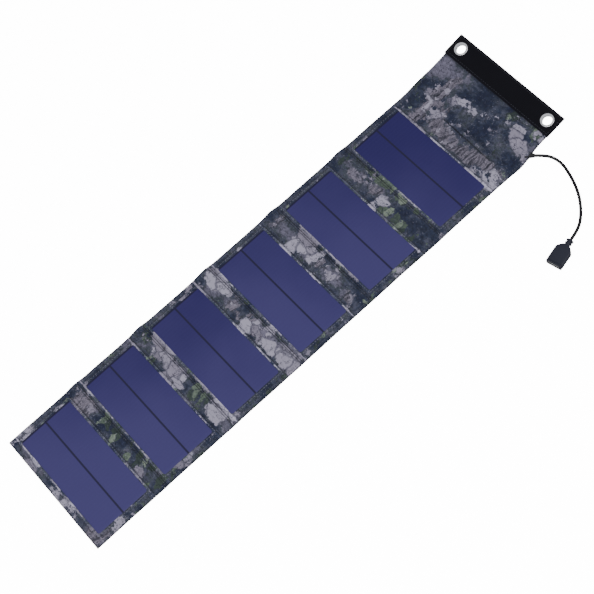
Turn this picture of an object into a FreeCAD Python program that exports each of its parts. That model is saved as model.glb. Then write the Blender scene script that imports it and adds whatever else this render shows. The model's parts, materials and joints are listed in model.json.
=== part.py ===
import FreeCAD, Part

import math
import os

import Sketcher
from FreeCAD import Placement, Rotation, Vector

# A soft folding solar charger: six solar sections and a pocket section in one long strip.
# Millimetres. +Y runs along the strip towards the pocket's band, +X towards the lead, +Z up.
# The strip lies flat on Z = 0. The pocket section leans up a little about its fold.

SECTIONS = 6

SIZES = {
    # the strip and its solar laminates
    "strip_width": 157.5,
    "panel_width": 137.0,
    "panel_height": 65.8,
    "window_overlap": 2.5,
    "window_corner": 2.5,
    "end_margin": 10.2,
    "first_gap": 23.2,
    "gap_step": 3.1,
    "joint_gap": 0.4,
    # layers, from the ground up
    "fabric": 0.6,
    "board": 1.1,
    "substrate": 0.5,
    "film": 0.3,
    "cell": 0.15,
    "cell_border": 1.5,
    "cell_spacing": 2.0,
    "layer_clearance": 0.6,
    "rise_allowance": 1.2,
    "cover_clearance": 0.1,
    "cover_wall": 2.0,
    "cover_lip": 0.7,
    # feed ribbons
    "ribbon_width": 5.0,
    "ribbon": 0.25,
    "ribbon_place": 44.0,
    "ribbon_clearance": 0.2,
    "ribbon_headroom": 0.05,
    # pocket section
    "pocket_length": 87.5,
    "pocket_tilt": 12.0,
    "pouch_height": 8.5,
    "pouch_width": 138.0,
    "pouch_start": 7.0,
    "pouch_end_margin": 3.0,
    "pouch_slope": 5.0,
    "band_width": 27.5,
    "band_wrap": 7.0,
    "webbing": 0.8,
    "tongue_clearance": 0.05,
    # eyelets in the band
    "eyelet_bore": 5.5,
    "eyelet_wall": 0.6,
    "eyelet_flange": 7.7,
    "eyelet_dome": 1.0,
    "eyelet_round": 0.45,
    "eyelet_lip": 0.9,
    "eyelet_lip_height": 0.4,
    "washer": 0.5,
    "washer_clearance": 0.05,
    "eyelet_place": 66.0,
    "eyelet_end_distance": 13.5,
    # regulator
    "case_width": 46.0,
    "case_length": 36.0,
    "case_height": 6.2,
    "case_split": 3.6,
    "case_wall": 1.2,
    "case_corner": 3.0,
    "case_place": 34.0,
    "circuit_thickness": 1.0,
    "circuit_clearance": 0.3,
    "coil_radius": 4.0,
    "coil_height": 2.2,
    "chip_width": 7.0,
    "chip_height": 1.2,
    # lead
    "lead_radius": 1.8,
    "exit_place": 34.0,
    "grommet_radius": 2.9,
    "grommet_tip": 2.3,
    "grommet_inside": 6.0,
    "grommet_outside": 5.0,
    # socket at the lead's end
    "neck_length": 8.0,
    "neck_root": 3.6,
    "neck_tip": 2.5,
    "socket_length": 25.5,
    "socket_width": 18.4,
    "socket_height": 8.6,
    "shoulder_length": 6.0,
    "shoulder_width": 8.6,
    "socket_corner": 1.8,
    "shell_width": 13.1,
    "shell_height": 5.7,
    "shell_depth": 17.0,
    "shell_sheet": 0.3,
    "shell_clearance": 0.05,
    "shell_proud": 0.5,
    "tongue_width": 11.0,
    "tongue": 1.8,
    "tongue_depth": 14.0,
    "tongue_rise": 1.2,
    "contact_width": 1.0,
    "contact": 0.2,
    "contact_pitch": 2.3,
    "contact_depth": 9.0,
}

# The lead's route from the grommet's tip to the socket's neck: steps in X and Y from the tip, and the
# height above the ground. It drops from the pocket's side, bends round and lies on the ground.
LEAD_ROUTE = [
    (0.0, 0.0, 6.9),
    (7.0, 8.6, 4.5),
    (15.6, 13.8, 2.6),
    (27.2, 14.6, 1.9),
    (40.4, 11.0, 1.9),
    (53.0, 6.2, 1.9),
    (65.0, -0.2, 1.9),
    (75.2, -8.0, 1.9),
    (83.6, -16.4, 2.0),
    (90.0, -25.2, 3.1),
    (93.8, -34.4, 4.3),
    (95.8, -43.1, 4.3),
]

doc = FreeCAD.newDocument("solar_charger")
sheet = doc.addObject("Spreadsheet::Sheet", "sizes")
for row, (alias, value) in enumerate(SIZES.items(), start=1):
    sheet.set(f"A{row}", alias)
    sheet.set(f"B{row}", f"{value}")
    sheet.setAlias(f"B{row}", alias)

DERIVED = {
    # one flat layer of the strip, and the laminate under its window
    "layer": "=fabric * 2 + board + substrate + film",
    "laminate_width": "=panel_width + 2 * window_overlap",
    "laminate_height": "=panel_height + 2 * window_overlap",
    "cell_height": "=(panel_height - 2 * cell_border - cell_spacing) / 2",
    "pocket_gap": f"=first_gap + {SECTIONS - 1} * gap_step",
    "pocket_sine": "=sin(pocket_tilt * 1deg)",
    "pocket_cosine": "=cos(pocket_tilt * 1deg)",
    # how high a fold line is: half the stack that it closes, and folds 4 and 5 also lift the
    # sections beyond them over the leaning pocket
    "pocket_rise": "=pocket_length * pocket_sine + 2 * webbing + fabric + rise_allowance",
    "fold_1_height": "=(2 * layer + layer_clearance) / 2",
    "fold_2_height": "=(3 * layer + 2 * layer_clearance) / 2",
    "fold_3_height": "=(4 * layer + 3 * layer_clearance) / 2",
    "fold_4_height": "=max(5 * layer + 4 * layer_clearance; pocket_rise + layer) / 2",
    "fold_5_height": "=(2 * fold_4_height + layer_clearance + layer) / 2",
    "pocket_fold_height": "=(2 * fold_5_height + layer_clearance + pouch_height) / 2",
    "pocket_reach": "=pocket_length * pocket_cosine + pocket_fold_height * pocket_sine",
    "sections_length": (
        f"=end_margin + {SECTIONS} * panel_height + {SECTIONS - 1} * first_gap"
        f" + {(SECTIONS - 1) * (SECTIONS - 2) // 2} * gap_step"
    ),
    "strip_length": "=sections_length + pocket_gap / 2 + pocket_reach",
    "pocket_fold_y": "=strip_length / 2 - pocket_reach",
    "cover_end": "=pocket_length - band_width + band_wrap",
    "pouch_length": "=pocket_length - band_width - pouch_start - pouch_end_margin",
}
for row, (alias, formula) in enumerate(DERIVED.items(), start=len(SIZES) + 1):
    sheet.set(f"A{row}", alias)
    sheet.set(f"B{row}", formula)
    sheet.setAlias(f"B{row}", alias)
doc.recompute()


def size(alias):
    """The plain value of a cell, for the few shapes that code works out."""
    return float(getattr(sheet, alias))


def cells(formula):
    """A formula of cell names as an expression on the sheet."""
    words = []
    word = ""
    for character in formula + " ":
        if character.isalnum() or character == "_":
            word += character
        else:
            words.append(f"sizes.{word}" if word in SIZES or word in DERIVED else word)
            words.append(character)
            word = ""
    return "".join(words).strip()


def bind(item, **formulas):
    """Ties properties to the sheet; a double underscore stands for a dot."""
    for name, formula in formulas.items():
        item.setExpression(name.replace("__", "."), cells(formula))


# ---------------------------------------------------------------- PartDesign helpers


def new_body(label, y="0", z="0", tilt=None):
    body = doc.addObject("PartDesign::Body", label)
    body.Label = label
    if tilt:
        body.Placement = Placement(Vector(0, 0, 0), Rotation(Vector(1, 0, 0), 1))
        bind(body, Placement__Rotation__Angle=tilt)
    bind(body, Placement__Base__y=y, Placement__Base__z=z)
    return body


def origin_plane(body, role):
    return next(item for item in body.Origin.OriginFeatures if item.Role == role)


def rectangle(body, name, width, length, x="0", y="0", z="0"):
    """A rectangle round its own centre, on the body's XY plane moved to x, y, z."""
    sketch = body.newObject("Sketcher::SketchObject", name)
    sketch.AttachmentSupport = [(origin_plane(body, "XY_Plane"), "")]
    sketch.MapMode = "FlatFace"
    bind(sketch, AttachmentOffset__Base__x=x, AttachmentOffset__Base__y=y, AttachmentOffset__Base__z=z)
    corners = [Vector(-5, -5, 0), Vector(5, -5, 0), Vector(5, 5, 0), Vector(-5, 5, 0)]
    for start, end in zip(corners, corners[1:] + corners[:1]):
        sketch.addGeometry(Part.LineSegment(start, end), False)
    for edge in range(4):
        sketch.addConstraint(Sketcher.Constraint("Coincident", edge, 2, (edge + 1) % 4, 1))
    for edge, direction in enumerate(["Horizontal", "Vertical", "Horizontal", "Vertical"]):
        sketch.addConstraint(Sketcher.Constraint(direction, edge))
    sketch.addConstraint(Sketcher.Constraint("Symmetric", 0, 1, 2, 1, -1, 1))
    across = sketch.addConstraint(Sketcher.Constraint("DistanceX", 0, 1, 0, 2, 10.0))
    along = sketch.addConstraint(Sketcher.Constraint("DistanceY", 1, 1, 1, 2, 10.0))
    sketch.renameConstraint(across, "width")
    sketch.renameConstraint(along, "length")
    bind(sketch, Constraints__width=width, Constraints__length=length)
    return sketch


def pad(body, sketch, height, taper=None):
    feature = body.newObject("PartDesign::Pad", "pad")
    feature.Profile = sketch
    bind(feature, Length=height)
    if taper:
        bind(feature, TaperAngle=taper)
    body.Tip = feature
    doc.recompute()
    return feature


def cut_up(body, sketch, height):
    """Cuts from the sketch's plane upwards, and makes sure that something was removed."""
    before = body.Shape.Volume
    feature = body.newObject("PartDesign::Pocket", "pocket")
    feature.Profile = sketch
    feature.Reversed = True
    bind(feature, Length=height)
    body.Tip = feature
    doc.recompute()
    if not body.Shape.Volume < before:
        raise RuntimeError(f"{body.Label}: a pocket removed nothing")
    return feature


def round_corners(body, feature, radius, inside_width=None):
    """Rounds the upright edges of a feature; with inside_width, only those of that opening."""
    names = []
    for number, edge in enumerate(feature.Shape.Edges, start=1):
        start, end = (vertex.Point for vertex in edge.Vertexes[:2]) if len(edge.Vertexes) > 1 else (None, None)
        if start is None or abs(start.x - end.x) > 1e-4 or abs(start.y - end.y) > 1e-4:
            continue
        if inside_width and abs(abs(start.x - feature.Shape.BoundBox.Center.x) - inside_width / 2) > 1e-3:
            continue
        names.append(f"Edge{number}")
    fillet = body.newObject("PartDesign::Fillet", "fillet")
    fillet.Base = (feature, names)
    bind(fillet, Radius=radius)
    body.Tip = fillet
    doc.recompute()
    return fillet


# ---------------------------------------------------------------- Part helpers


def box(name, width, length, height, x, y, z):
    """A box round x and y, standing on z."""
    item = doc.addObject("Part::Box", name)
    bind(item, Length=width, Width=length, Height=height)
    bind(item, Placement__Base__x=f"{x} - ({width}) / 2", Placement__Base__y=f"{y} - ({length}) / 2")
    bind(item, Placement__Base__z=z)
    return item


def cylinder(name, radius, height, x, y, z):
    item = doc.addObject("Part::Cylinder", name)
    bind(item, Radius=radius, Height=height)
    bind(item, Placement__Base__x=x, Placement__Base__y=y, Placement__Base__z=z)
    return item


def cut(name, base, tool):
    item = doc.addObject("Part::Cut", name)
    item.Base, item.Tool = base, tool
    return item


def fuse(name, *shapes):
    item = doc.addObject("Part::MultiFuse", name)
    item.Shapes = list(shapes)
    return item


def group(label, *shapes):
    """Separate solids that share one node."""
    item = doc.addObject("Part::Compound", label)
    item.Links = list(shapes)
    item.Label = label
    return item


def in_pocket(item):
    """Moves an item made about the pocket's fold line to its leaning place."""
    item.Placement = Placement(Vector(0, 0, 0), Rotation(Vector(1, 0, 0), 1))
    bind(item, Placement__Rotation__Angle="pocket_tilt * 1deg")
    bind(item, Placement__Base__y="pocket_fold_y", Placement__Base__z="pocket_fold_height")
    return item


nodes = []


def keep(item):
    nodes.append(item)
    return item


# ---------------------------------------------------------------- the six solar sections


def gap(number):
    """The fold gap between a section and the next one towards the pocket; it grows by one step a fold."""
    return f"(first_gap + {number - 1} * gap_step)"


def section_y(number):
    """The middle of a section's panel."""
    folds = number - 1
    steps = folds * (folds - 1) // 2
    return (
        f"-strip_length / 2 + end_margin + {number - 0.5} * panel_height"
        f" + {folds} * first_gap + {steps} * gap_step"
    )


def back_cover(number, length, middle):
    body = new_body(f"back_cover_{number}", section_y(number))
    pad(body, rectangle(body, "outline", "strip_width", length, y=middle), "fabric")
    return body


def front_cover(number, length, middle, ribbon_length, ribbon_middle):
    """A flange on the back cover that rises over the laminate, with a window over the cells."""
    body = new_body(f"front_cover_{number}", section_y(number))
    pad(body, rectangle(body, "flange", "strip_width", length, y=middle, z="fabric"), "fabric")
    foot = rectangle(
        body, "foot", "laminate_width + 2 * cover_wall", "laminate_height + 2 * cover_wall", z="fabric"
    )
    pad(body, foot, "layer - fabric", "-atan((cover_wall - cover_lip) / (layer - fabric))")
    room = rectangle(
        body, "room", "laminate_width + 2 * cover_clearance", "laminate_height + 2 * cover_clearance", z="fabric"
    )
    cut_up(body, room, "layer - 2 * fabric")
    for side in (-1, 1):
        channel = rectangle(
            body, "channel", "ribbon_width + 2 * ribbon_clearance", f"{ribbon_length} + 2 * joint_gap",
            x=f"{side} * ribbon_place", y=ribbon_middle, z="fabric",
        )
        cut_up(body, channel, "ribbon + ribbon_headroom")
    window = rectangle(body, "window", "panel_width", "panel_height", z="layer - 2 * fabric")
    opening = cut_up(body, window, "3 * fabric")
    round_corners(body, opening, "window_corner", size("panel_width"))
    return body


def backing_board(number, ribbon_length, ribbon_middle):
    """A stiff board with two grooves under it for the feed ribbons."""
    body = new_body(f"backing_board_{number}", section_y(number))
    pad(body, rectangle(body, "outline", "laminate_width", "laminate_height", z="fabric"), "board")
    for side in (-1, 1):
        groove = rectangle(
            body, "groove", "ribbon_width + 2 * ribbon_clearance", f"{ribbon_length} + 2 * joint_gap",
            x=f"{side} * ribbon_place", y=ribbon_middle, z="fabric",
        )
        cut_up(body, groove, "ribbon + ribbon_headroom")
    return body


def laminate_base(number):
    body = new_body(f"laminate_base_{number}", section_y(number))
    outline = rectangle(body, "outline", "laminate_width", "laminate_height", z="fabric + board")
    pad(body, outline, "substrate")
    return body


CELL_OFFSET = "(cell_height + cell_spacing) / 2"


def cell_strips(number):
    strips = [
        box(
            f"cell_{number}_{place}", "panel_width - 2 * cell_border", "cell_height", "cell",
            "0", f"{section_y(number)} + {side} * {CELL_OFFSET}", "fabric + board + substrate",
        )
        for place, side in (("low", -1), ("high", 1))
    ]
    return group(f"cell_strips_{number}", *strips)


def top_film(number):
    """The clear film, moulded over both cell strips."""
    body = new_body(f"top_film_{number}", section_y(number))
    outline = rectangle(body, "outline", "laminate_width", "laminate_height", z="fabric + board + substrate")
    pad(body, outline, "film")
    for side in (-1, 1):
        strip = rectangle(
            body, "strip", "panel_width - 2 * cell_border", "cell_height",
            y=f"{side} * {CELL_OFFSET}", z="fabric + board + substrate",
        )
        cut_up(body, strip, "cell")
    return body


def feed_ribbons(number, length, middle):
    ribbons = [
        box(
            f"ribbon_{number}_{place}", "ribbon_width", length, "ribbon",
            f"{side} * ribbon_place", f"{section_y(number)} + {middle}", "fabric",
        )
        for place, side in (("left", -1), ("right", 1))
    ]
    return group(f"feed_ribbons_{number}", *ribbons)


for number in range(1, SECTIONS + 1):
    upper = f"(panel_height / 2 + {gap(number)} / 2 - joint_gap / 2)"
    if number == 1:
        lower = "(panel_height / 2 + end_margin)"
        ribbon_lower = "0"
    else:
        lower = f"(panel_height / 2 + {gap(number - 1)} / 2 - joint_gap / 2)"
        ribbon_lower = lower
    length, middle = f"({upper} + {lower})", f"({upper} - {lower}) / 2"
    ribbon_length, ribbon_middle = f"({upper} + {ribbon_lower})", f"({upper} - {ribbon_lower}) / 2"
    keep(back_cover(number, length, middle))
    keep(front_cover(number, length, middle, ribbon_length, ribbon_middle))
    keep(backing_board(number, ribbon_length, ribbon_middle))
    keep(laminate_base(number))
    keep(cell_strips(number))
    keep(top_film(number))
    keep(feed_ribbons(number, ribbon_length, ribbon_middle))

# ---------------------------------------------------------------- the pocket section
# Its pieces are made about the fold line, so their heights count down from it.

SIDES = (("left", -1), ("right", 1))
FLOOR = "-pocket_fold_height"
COVER_LENGTH = "(cover_end - joint_gap / 2)"
COVER_MIDDLE = "((cover_end + joint_gap / 2) / 2)"
CASE_Y = "(pouch_start + pouch_length / 2)"


def pocket_body(label):
    return new_body(label, "pocket_fold_y", "pocket_fold_height", "pocket_tilt * 1deg")


def pierced(label, cloth):
    """The cloth with room for the eyelets' barrels, wherever it reaches as far as they do."""
    barrels = [
        cylinder(
            f"{label}_room_{place}", "eyelet_bore + eyelet_wall + washer_clearance", f"{BAND_HEIGHT} + 2 * fabric",
            f"{side} * eyelet_place", EYELET_Y, f"{BAND_BOTTOM} - fabric",
        )
        for place, side in SIDES
    ]
    item = cut(f"{label}_pierced", cloth, in_pocket(fuse(f"{label}_rooms", *barrels)))
    item.Label = label
    return item


def pocket_back():
    body = pocket_body("pocket_back_cloth")
    pad(body, rectangle(body, "outline", "strip_width", COVER_LENGTH, y=COVER_MIDDLE, z=FLOOR), "fabric")
    return pierced("pocket_back", body)


def pocket_front():
    """A pouch with sloping sides over the regulator."""
    body = pocket_body("pocket_front_cloth")
    start = f"{FLOOR} + fabric"
    pad(body, rectangle(body, "flange", "strip_width", COVER_LENGTH, y=COVER_MIDDLE, z=start), "fabric")
    pouch = rectangle(body, "pouch", "pouch_width", "pouch_length", y=CASE_Y, z=start)
    slope = "-atan(pouch_slope / (pouch_height - fabric))"
    pad(body, pouch, "pouch_height - fabric", slope)
    before = body.Shape.Volume
    room = rectangle(
        body, "room", "pouch_width - 2 * fabric", "pouch_length - 2 * fabric", y=CASE_Y, z=start
    )
    hollow = cut_up(body, room, "pouch_height - 2 * fabric")
    bind(hollow, TaperAngle=slope)
    doc.recompute()
    if body.Shape.Volume >= before:
        raise RuntimeError("pocket_front: the pouch is not hollow")
    for side in (-1, 1):
        channel = rectangle(
            body, "channel", "ribbon_width + 2 * ribbon_clearance", "pouch_start + 2 * (joint_gap + fabric)",
            x=f"{side} * ribbon_place", y="pouch_start / 2", z=start,
        )
        cut_up(body, channel, "ribbon + ribbon_headroom")
    return pierced("pocket_front", body)


def pocket_ribbons():
    length = "(pouch_start + fabric + pouch_slope)"
    ribbons = [
        box(
            f"ribbon_pocket_{place}", "ribbon_width", length, "ribbon",
            f"{side} * ribbon_place", f"joint_gap / 2 + {length} / 2", f"{FLOOR} + fabric",
        )
        for place, side in (("left", -1), ("right", 1))
    ]
    return in_pocket(group("feed_ribbons_pocket", *ribbons))


BAND_BOTTOM = f"({FLOOR} + fabric - webbing - fabric)"
BAND_HEIGHT = "(2 * webbing + 2 * fabric)"
BAND_TOP = f"({BAND_BOTTOM} + {BAND_HEIGHT})"
BAND_Y = "(pocket_length - band_width / 2)"
EYELET_Y = "(pocket_length - eyelet_end_distance)"


def end_band():
    """Webbing folded round the covers' ends, with a hole for each eyelet."""
    band = box("band_block", "strip_width", "band_width", BAND_HEIGHT, "0", BAND_Y, BAND_BOTTOM)
    slot = box(
        "band_slot", "strip_width + 2 * fabric", "band_wrap + tongue_clearance",
        "2 * fabric + 2 * tongue_clearance", "0",
        "pocket_length - band_width + (band_wrap + tongue_clearance) / 2", f"{FLOOR} - tongue_clearance",
    )
    holes = [
        cylinder(
            f"band_hole_{place}", "eyelet_bore + eyelet_wall", f"{BAND_HEIGHT} + 2 * fabric",
            f"{side} * eyelet_place", EYELET_Y, f"{BAND_BOTTOM} - fabric",
        )
        for place, side in SIDES
    ]
    band = cut("end_band", band, fuse("band_cuts", slot, *holes))
    band.Label = "end_band"
    return in_pocket(band)


def eyelet(place, side):
    """A flanged barrel through the band, with a lip rolled over the washer behind it."""
    x = f"{side} * eyelet_place"
    flange = cylinder(f"flange_{place}", "eyelet_flange", "eyelet_dome", x, EYELET_Y, BAND_TOP)
    doc.recompute()
    rounded = doc.addObject("Part::Fillet", f"flange_round_{place}")
    rounded.Base = flange
    top = flange.Placement.Base.z + size("eyelet_dome")
    edges = [
        number
        for number, edge in enumerate(flange.Shape.Edges, start=1)
        if isinstance(edge.Curve, Part.Circle) and abs(edge.Curve.Center.z - top) < 1e-6
    ]
    rounded.Edges = [(number, size("eyelet_round"), size("eyelet_round")) for number in edges]
    barrel = cylinder(
        f"barrel_{place}", "eyelet_bore + eyelet_wall", f"{BAND_HEIGHT} + washer", x, EYELET_Y,
        f"{BAND_BOTTOM} - washer",
    )
    lip = cylinder(
        f"lip_{place}", "eyelet_bore + eyelet_wall + eyelet_lip", "eyelet_lip_height", x, EYELET_Y,
        f"{BAND_BOTTOM} - washer - eyelet_lip_height",
    )
    bore = cylinder(
        f"bore_{place}", "eyelet_bore", f"2 * {BAND_HEIGHT} + 2 * eyelet_dome", x, EYELET_Y,
        f"{BAND_BOTTOM} - {BAND_HEIGHT} / 2",
    )
    return cut(f"eyelet_{place}", fuse(f"eyelet_solid_{place}", rounded, barrel, lip), bore)


def washer(place, side):
    x = f"{side} * eyelet_place"
    disc = cylinder(f"disc_{place}", "eyelet_flange", "washer", x, EYELET_Y, f"{BAND_BOTTOM} - washer")
    hole = cylinder(
        f"disc_hole_{place}", "eyelet_bore + eyelet_wall + washer_clearance", "3 * washer", x, EYELET_Y,
        f"{BAND_BOTTOM} - 2 * washer",
    )
    return cut(f"washer_{place}", disc, hole)


keep(pocket_back())
keep(pocket_front())
keep(pocket_ribbons())
keep(end_band())
keep(in_pocket(group("eyelets", *[eyelet(place, side) for place, side in SIDES])))
keep(in_pocket(group("eyelet_washers", *[washer(place, side) for place, side in SIDES])))

# ---------------------------------------------------------------- the regulator in the pocket

CASE_FLOOR = f"({FLOOR} + fabric)"


def case_half(label, bottom, height, hollow_bottom, hollow_height):
    body = pocket_body(label)
    outline = rectangle(body, "outline", "case_width", "case_length", x="case_place", y=CASE_Y, z=bottom)
    shell = round_corners(body, pad(body, outline, height), "case_corner")
    if shell.Shape.isNull():
        raise RuntimeError(f"{label}: no case corners")
    hollow = rectangle(
        body, "hollow", "case_width - 2 * case_wall", "case_length - 2 * case_wall",
        x="case_place", y=CASE_Y, z=hollow_bottom,
    )
    cut_up(body, hollow, hollow_height)
    return body


def regulator_case_base():
    return case_half(
        "regulator_case_base", CASE_FLOOR, "case_split", f"{CASE_FLOOR} + case_wall", "case_split"
    )


def regulator_case_lid():
    lid_height = "case_height - case_split"
    start = f"{CASE_FLOOR} + case_split"
    return case_half("regulator_case_lid", start, lid_height, start, f"{lid_height} - case_wall")


CIRCUIT_TOP = f"({CASE_FLOOR} + case_wall + circuit_thickness)"


def regulator_circuit():
    body = pocket_body("regulator_circuit")
    inside = "(2 * case_wall + 2 * circuit_clearance)"
    outline = rectangle(
        body, "outline", f"case_width - {inside}", f"case_length - {inside}",
        x="case_place", y=CASE_Y, z=f"{CASE_FLOOR} + case_wall",
    )
    pad(body, outline, "circuit_thickness")
    return body


def regulator_components():
    """A coil and a converter chip on the circuit board."""
    coil = cylinder(
        "coil", "coil_radius", "coil_height", "case_place - case_width / 5",
        f"{CASE_Y} + case_length / 6", CIRCUIT_TOP,
    )
    chip = box(
        "chip", "chip_width", "chip_width", "chip_height", "(case_place + case_width / 6)",
        f"({CASE_Y} - case_length / 8)", CIRCUIT_TOP,
    )
    return in_pocket(group("regulator_components", coil, chip))


keep(regulator_case_base())
keep(regulator_case_lid())
keep(regulator_circuit())
keep(regulator_components())

# ---------------------------------------------------------------- the lead


def exit_point():
    """Where the lead leaves the pocket's side seam, in the strip's frame."""
    angle = math.radians(size("pocket_tilt"))
    along, down = size("exit_place"), size("pocket_fold_height") - size("fabric")
    return Vector(
        size("strip_width") / 2,
        size("pocket_fold_y") + along * math.cos(angle) + down * math.sin(angle),
        size("pocket_fold_height") + along * math.sin(angle) - down * math.cos(angle),
    )


def lead_points():
    """The route in the strip's frame; its first run points back at the exit."""
    steps = [Vector(*step) for step in LEAD_ROUTE]
    first_run = (steps[1] - steps[0]).normalize()
    tip = exit_point() + first_run * size("grommet_outside")
    return [Vector(tip.x + step.x, tip.y + step.y, step.z) for step in steps]


def rounded_path(points):
    """Straight runs joined by tangent arcs, each as large as its two runs allow."""
    edges, radii = [], []
    start = points[0]
    for before, corner, after in zip(points, points[1:], points[2:]):
        into, out = (corner - before), (after - corner)
        turn = into.getAngle(out)
        trim = 0.45 * min(into.Length, out.Length)
        radii.append(trim / math.tan(turn / 2))
        into.normalize()
        out.normalize()
        arc_start, arc_end = corner - into * trim, corner + out * trim
        centre_direction = (out - into).normalize()
        centre = corner + centre_direction * (radii[-1] / math.cos(turn / 2))
        arc_middle = centre - centre_direction * radii[-1]
        edges.append(Part.LineSegment(start, arc_start).toShape())
        edges.append(Part.Arc(arc_start, arc_middle, arc_end).toShape())
        start = arc_end
    edges.append(Part.LineSegment(start, points[-1]).toShape())
    return Part.Wire(edges), radii


def swept_tube(points, radius):
    path, radii = rounded_path(points)
    profile = Part.Wire(Part.Circle(points[0], points[1] - points[0], radius).toShape())
    tube = path.makePipeShell([profile], True, False)
    return tube, path.Length, radii


def shape_node(label, shape, placement=None):
    item = doc.addObject("Part::Feature", label)
    item.Shape = shape
    item.Label = label
    if placement:
        item.Placement = placement
    return item


route = lead_points()
radius = size("lead_radius")
lead, lead_length, radii = swept_tube(route, radius)
ideal = math.pi * radius**2 * lead_length
print(f"lead: {lead_length:.1f} mm long, radii {[round(r, 1) for r in radii]}")
print(f"lead volume against section times length: {lead.Volume / ideal:.4f}")
if abs(lead.Volume / ideal - 1) > 0.01:
    raise RuntimeError("the lead's tube is not whole")
keep(shape_node("usb_lead", lead))


def along(start, end):
    """A placement at start whose Z points at end."""
    return Placement(start, Rotation(Vector(0, 0, 1), end - start))


def lead_grommet():
    """A tapered sleeve in the side seam, along the lead's first run."""
    inside, outside = size("grommet_inside"), size("grommet_outside")
    straight = Part.makeCylinder(size("grommet_radius"), inside)
    taper = Part.makeCone(
        size("grommet_radius"), size("grommet_tip"), outside, Vector(0, 0, inside), Vector(0, 0, 1)
    )
    first_run = (route[1] - route[0]).normalize()
    root = route[0] - first_run * (inside + outside)
    return shape_node("lead_grommet", straight.fuse(taper).removeSplitter(), along(root, route[0]))


def inner_lead():
    """The lead's end inside the pouch, from the case's side to the grommet."""
    angle = math.radians(size("pocket_tilt"))
    along_pocket = size("exit_place")
    height = size("fabric") + size("case_height") / 2 - size("pocket_fold_height")
    start = Vector(
        size("case_place") + size("case_width") / 2,
        size("pocket_fold_y") + along_pocket * math.cos(angle) - height * math.sin(angle),
        size("pocket_fold_height") + along_pocket * math.sin(angle) + height * math.cos(angle),
    )
    first_run = (route[1] - route[0]).normalize()
    root = route[0] - first_run * (size("grommet_inside") + size("grommet_outside"))
    return shape_node("inner_lead", Part.makeCylinder(radius, (root - start).Length, start, root - start))


keep(lead_grommet())
keep(inner_lead())

# ---------------------------------------------------------------- the USB socket on the lead
# Made along +X from its neck, with the ground at Z = 0, then turned to the lead's last run.

last_run = route[-1] - route[-2]
SOCKET_TURN = math.degrees(math.atan2(last_run.y, last_run.x))
SOCKET_MIDDLE = "(socket_height / 2)"


def at_socket(item, label):
    item.Label = label
    item.Placement = Placement(Vector(route[-1].x, route[-1].y, 0), Rotation(Vector(0, 0, 1), SOCKET_TURN))
    return item


def socket_neck():
    neck = Part.makeCone(
        size("neck_tip"), size("neck_root"), size("neck_length"),
        Vector(0, 0, size("socket_height") / 2), Vector(1, 0, 0),
    )
    return at_socket(shape_node("socket_neck", neck), "socket_neck")


def socket_body():
    """A moulded grip with sloping shoulders, hollow for the metal shell."""
    shoulder, end = size("shoulder_length"), size("socket_length")
    start = size("neck_length")
    narrow, wide = size("shoulder_width") / 2, size("socket_width") / 2
    outline = [
        Vector(start, -narrow, 0), Vector(start + shoulder, -wide, 0), Vector(start + end, -wide, 0),
        Vector(start + end, wide, 0), Vector(start + shoulder, wide, 0), Vector(start, narrow, 0),
    ]
    block = Part.Face(Part.makePolygon(outline + outline[:1])).extrude(Vector(0, 0, size("socket_height")))
    long_edges = [
        edge for edge in block.Edges
        if abs(edge.Vertexes[0].Z - edge.Vertexes[1].Z) < 1e-6
        and abs(edge.Vertexes[0].X - edge.Vertexes[1].X) > 1e-6
    ]
    block = block.makeFillet(size("socket_corner"), long_edges)
    width = size("shell_width") + 2 * size("shell_clearance")
    height = size("shell_height") + 2 * size("shell_clearance")
    depth = size("shell_depth") - size("shell_proud")
    room = Part.makeBox(
        depth + end, width, height,
        Vector(start + end - depth, -width / 2, size("socket_height") / 2 - height / 2),
    )
    return at_socket(shape_node("socket_body", block.cut(room)), "socket_body")


MOUTH = "(neck_length + socket_length + shell_proud)"


def usb_shell():
    """A folded metal sleeve, closed at the back."""
    outer = box(
        "shell_outer", "shell_depth", "shell_width", "shell_height",
        f"{MOUTH} - shell_depth / 2", "0", f"{SOCKET_MIDDLE} - shell_height / 2",
    )
    inner = box(
        "shell_inner", "shell_depth", "shell_width - 2 * shell_sheet", "shell_height - 2 * shell_sheet",
        f"{MOUTH} - shell_depth / 2 + shell_sheet", "0",
        f"{SOCKET_MIDDLE} - shell_height / 2 + shell_sheet",
    )
    return at_socket(cut("usb_shell", outer, inner), "usb_shell")


TONGUE_BACK = f"({MOUTH} - shell_depth + shell_sheet)"


def usb_tongue():
    tongue = box(
        "tongue_block", "tongue_depth", "tongue_width", "tongue",
        f"{TONGUE_BACK} + tongue_depth / 2", "0", f"{SOCKET_MIDDLE} + tongue_rise - tongue / 2",
    )
    return at_socket(group("usb_tongue", tongue), "usb_tongue")


def usb_contacts():
    """Four contacts under the tongue."""
    strips = [
        box(
            f"contact_{place}", "contact_depth", "contact_width", "contact",
            f"{TONGUE_BACK} + tongue_depth - contact_depth / 2 - contact_width",
            f"{place - 1.5} * contact_pitch", f"{SOCKET_MIDDLE} + tongue_rise - tongue / 2 - contact",
        )
        for place in range(4)
    ]
    return at_socket(group("usb_contacts", *strips), "usb_contacts")


keep(socket_neck())
keep(socket_body())
keep(usb_shell())
keep(usb_tongue())
keep(usb_contacts())

# ---------------------------------------------------------------- checks and export

doc.recompute()
for item in doc.Objects:
    if "Invalid" in item.State or "Error" in item.State:
        raise RuntimeError(f"{item.Label} failed: {item.State}")
for item in nodes:
    if item.Shape.isNull() or not item.Shape.isValid() or not item.Shape.Solids:
        raise RuntimeError(f"{item.Label} has no valid solid")

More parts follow.
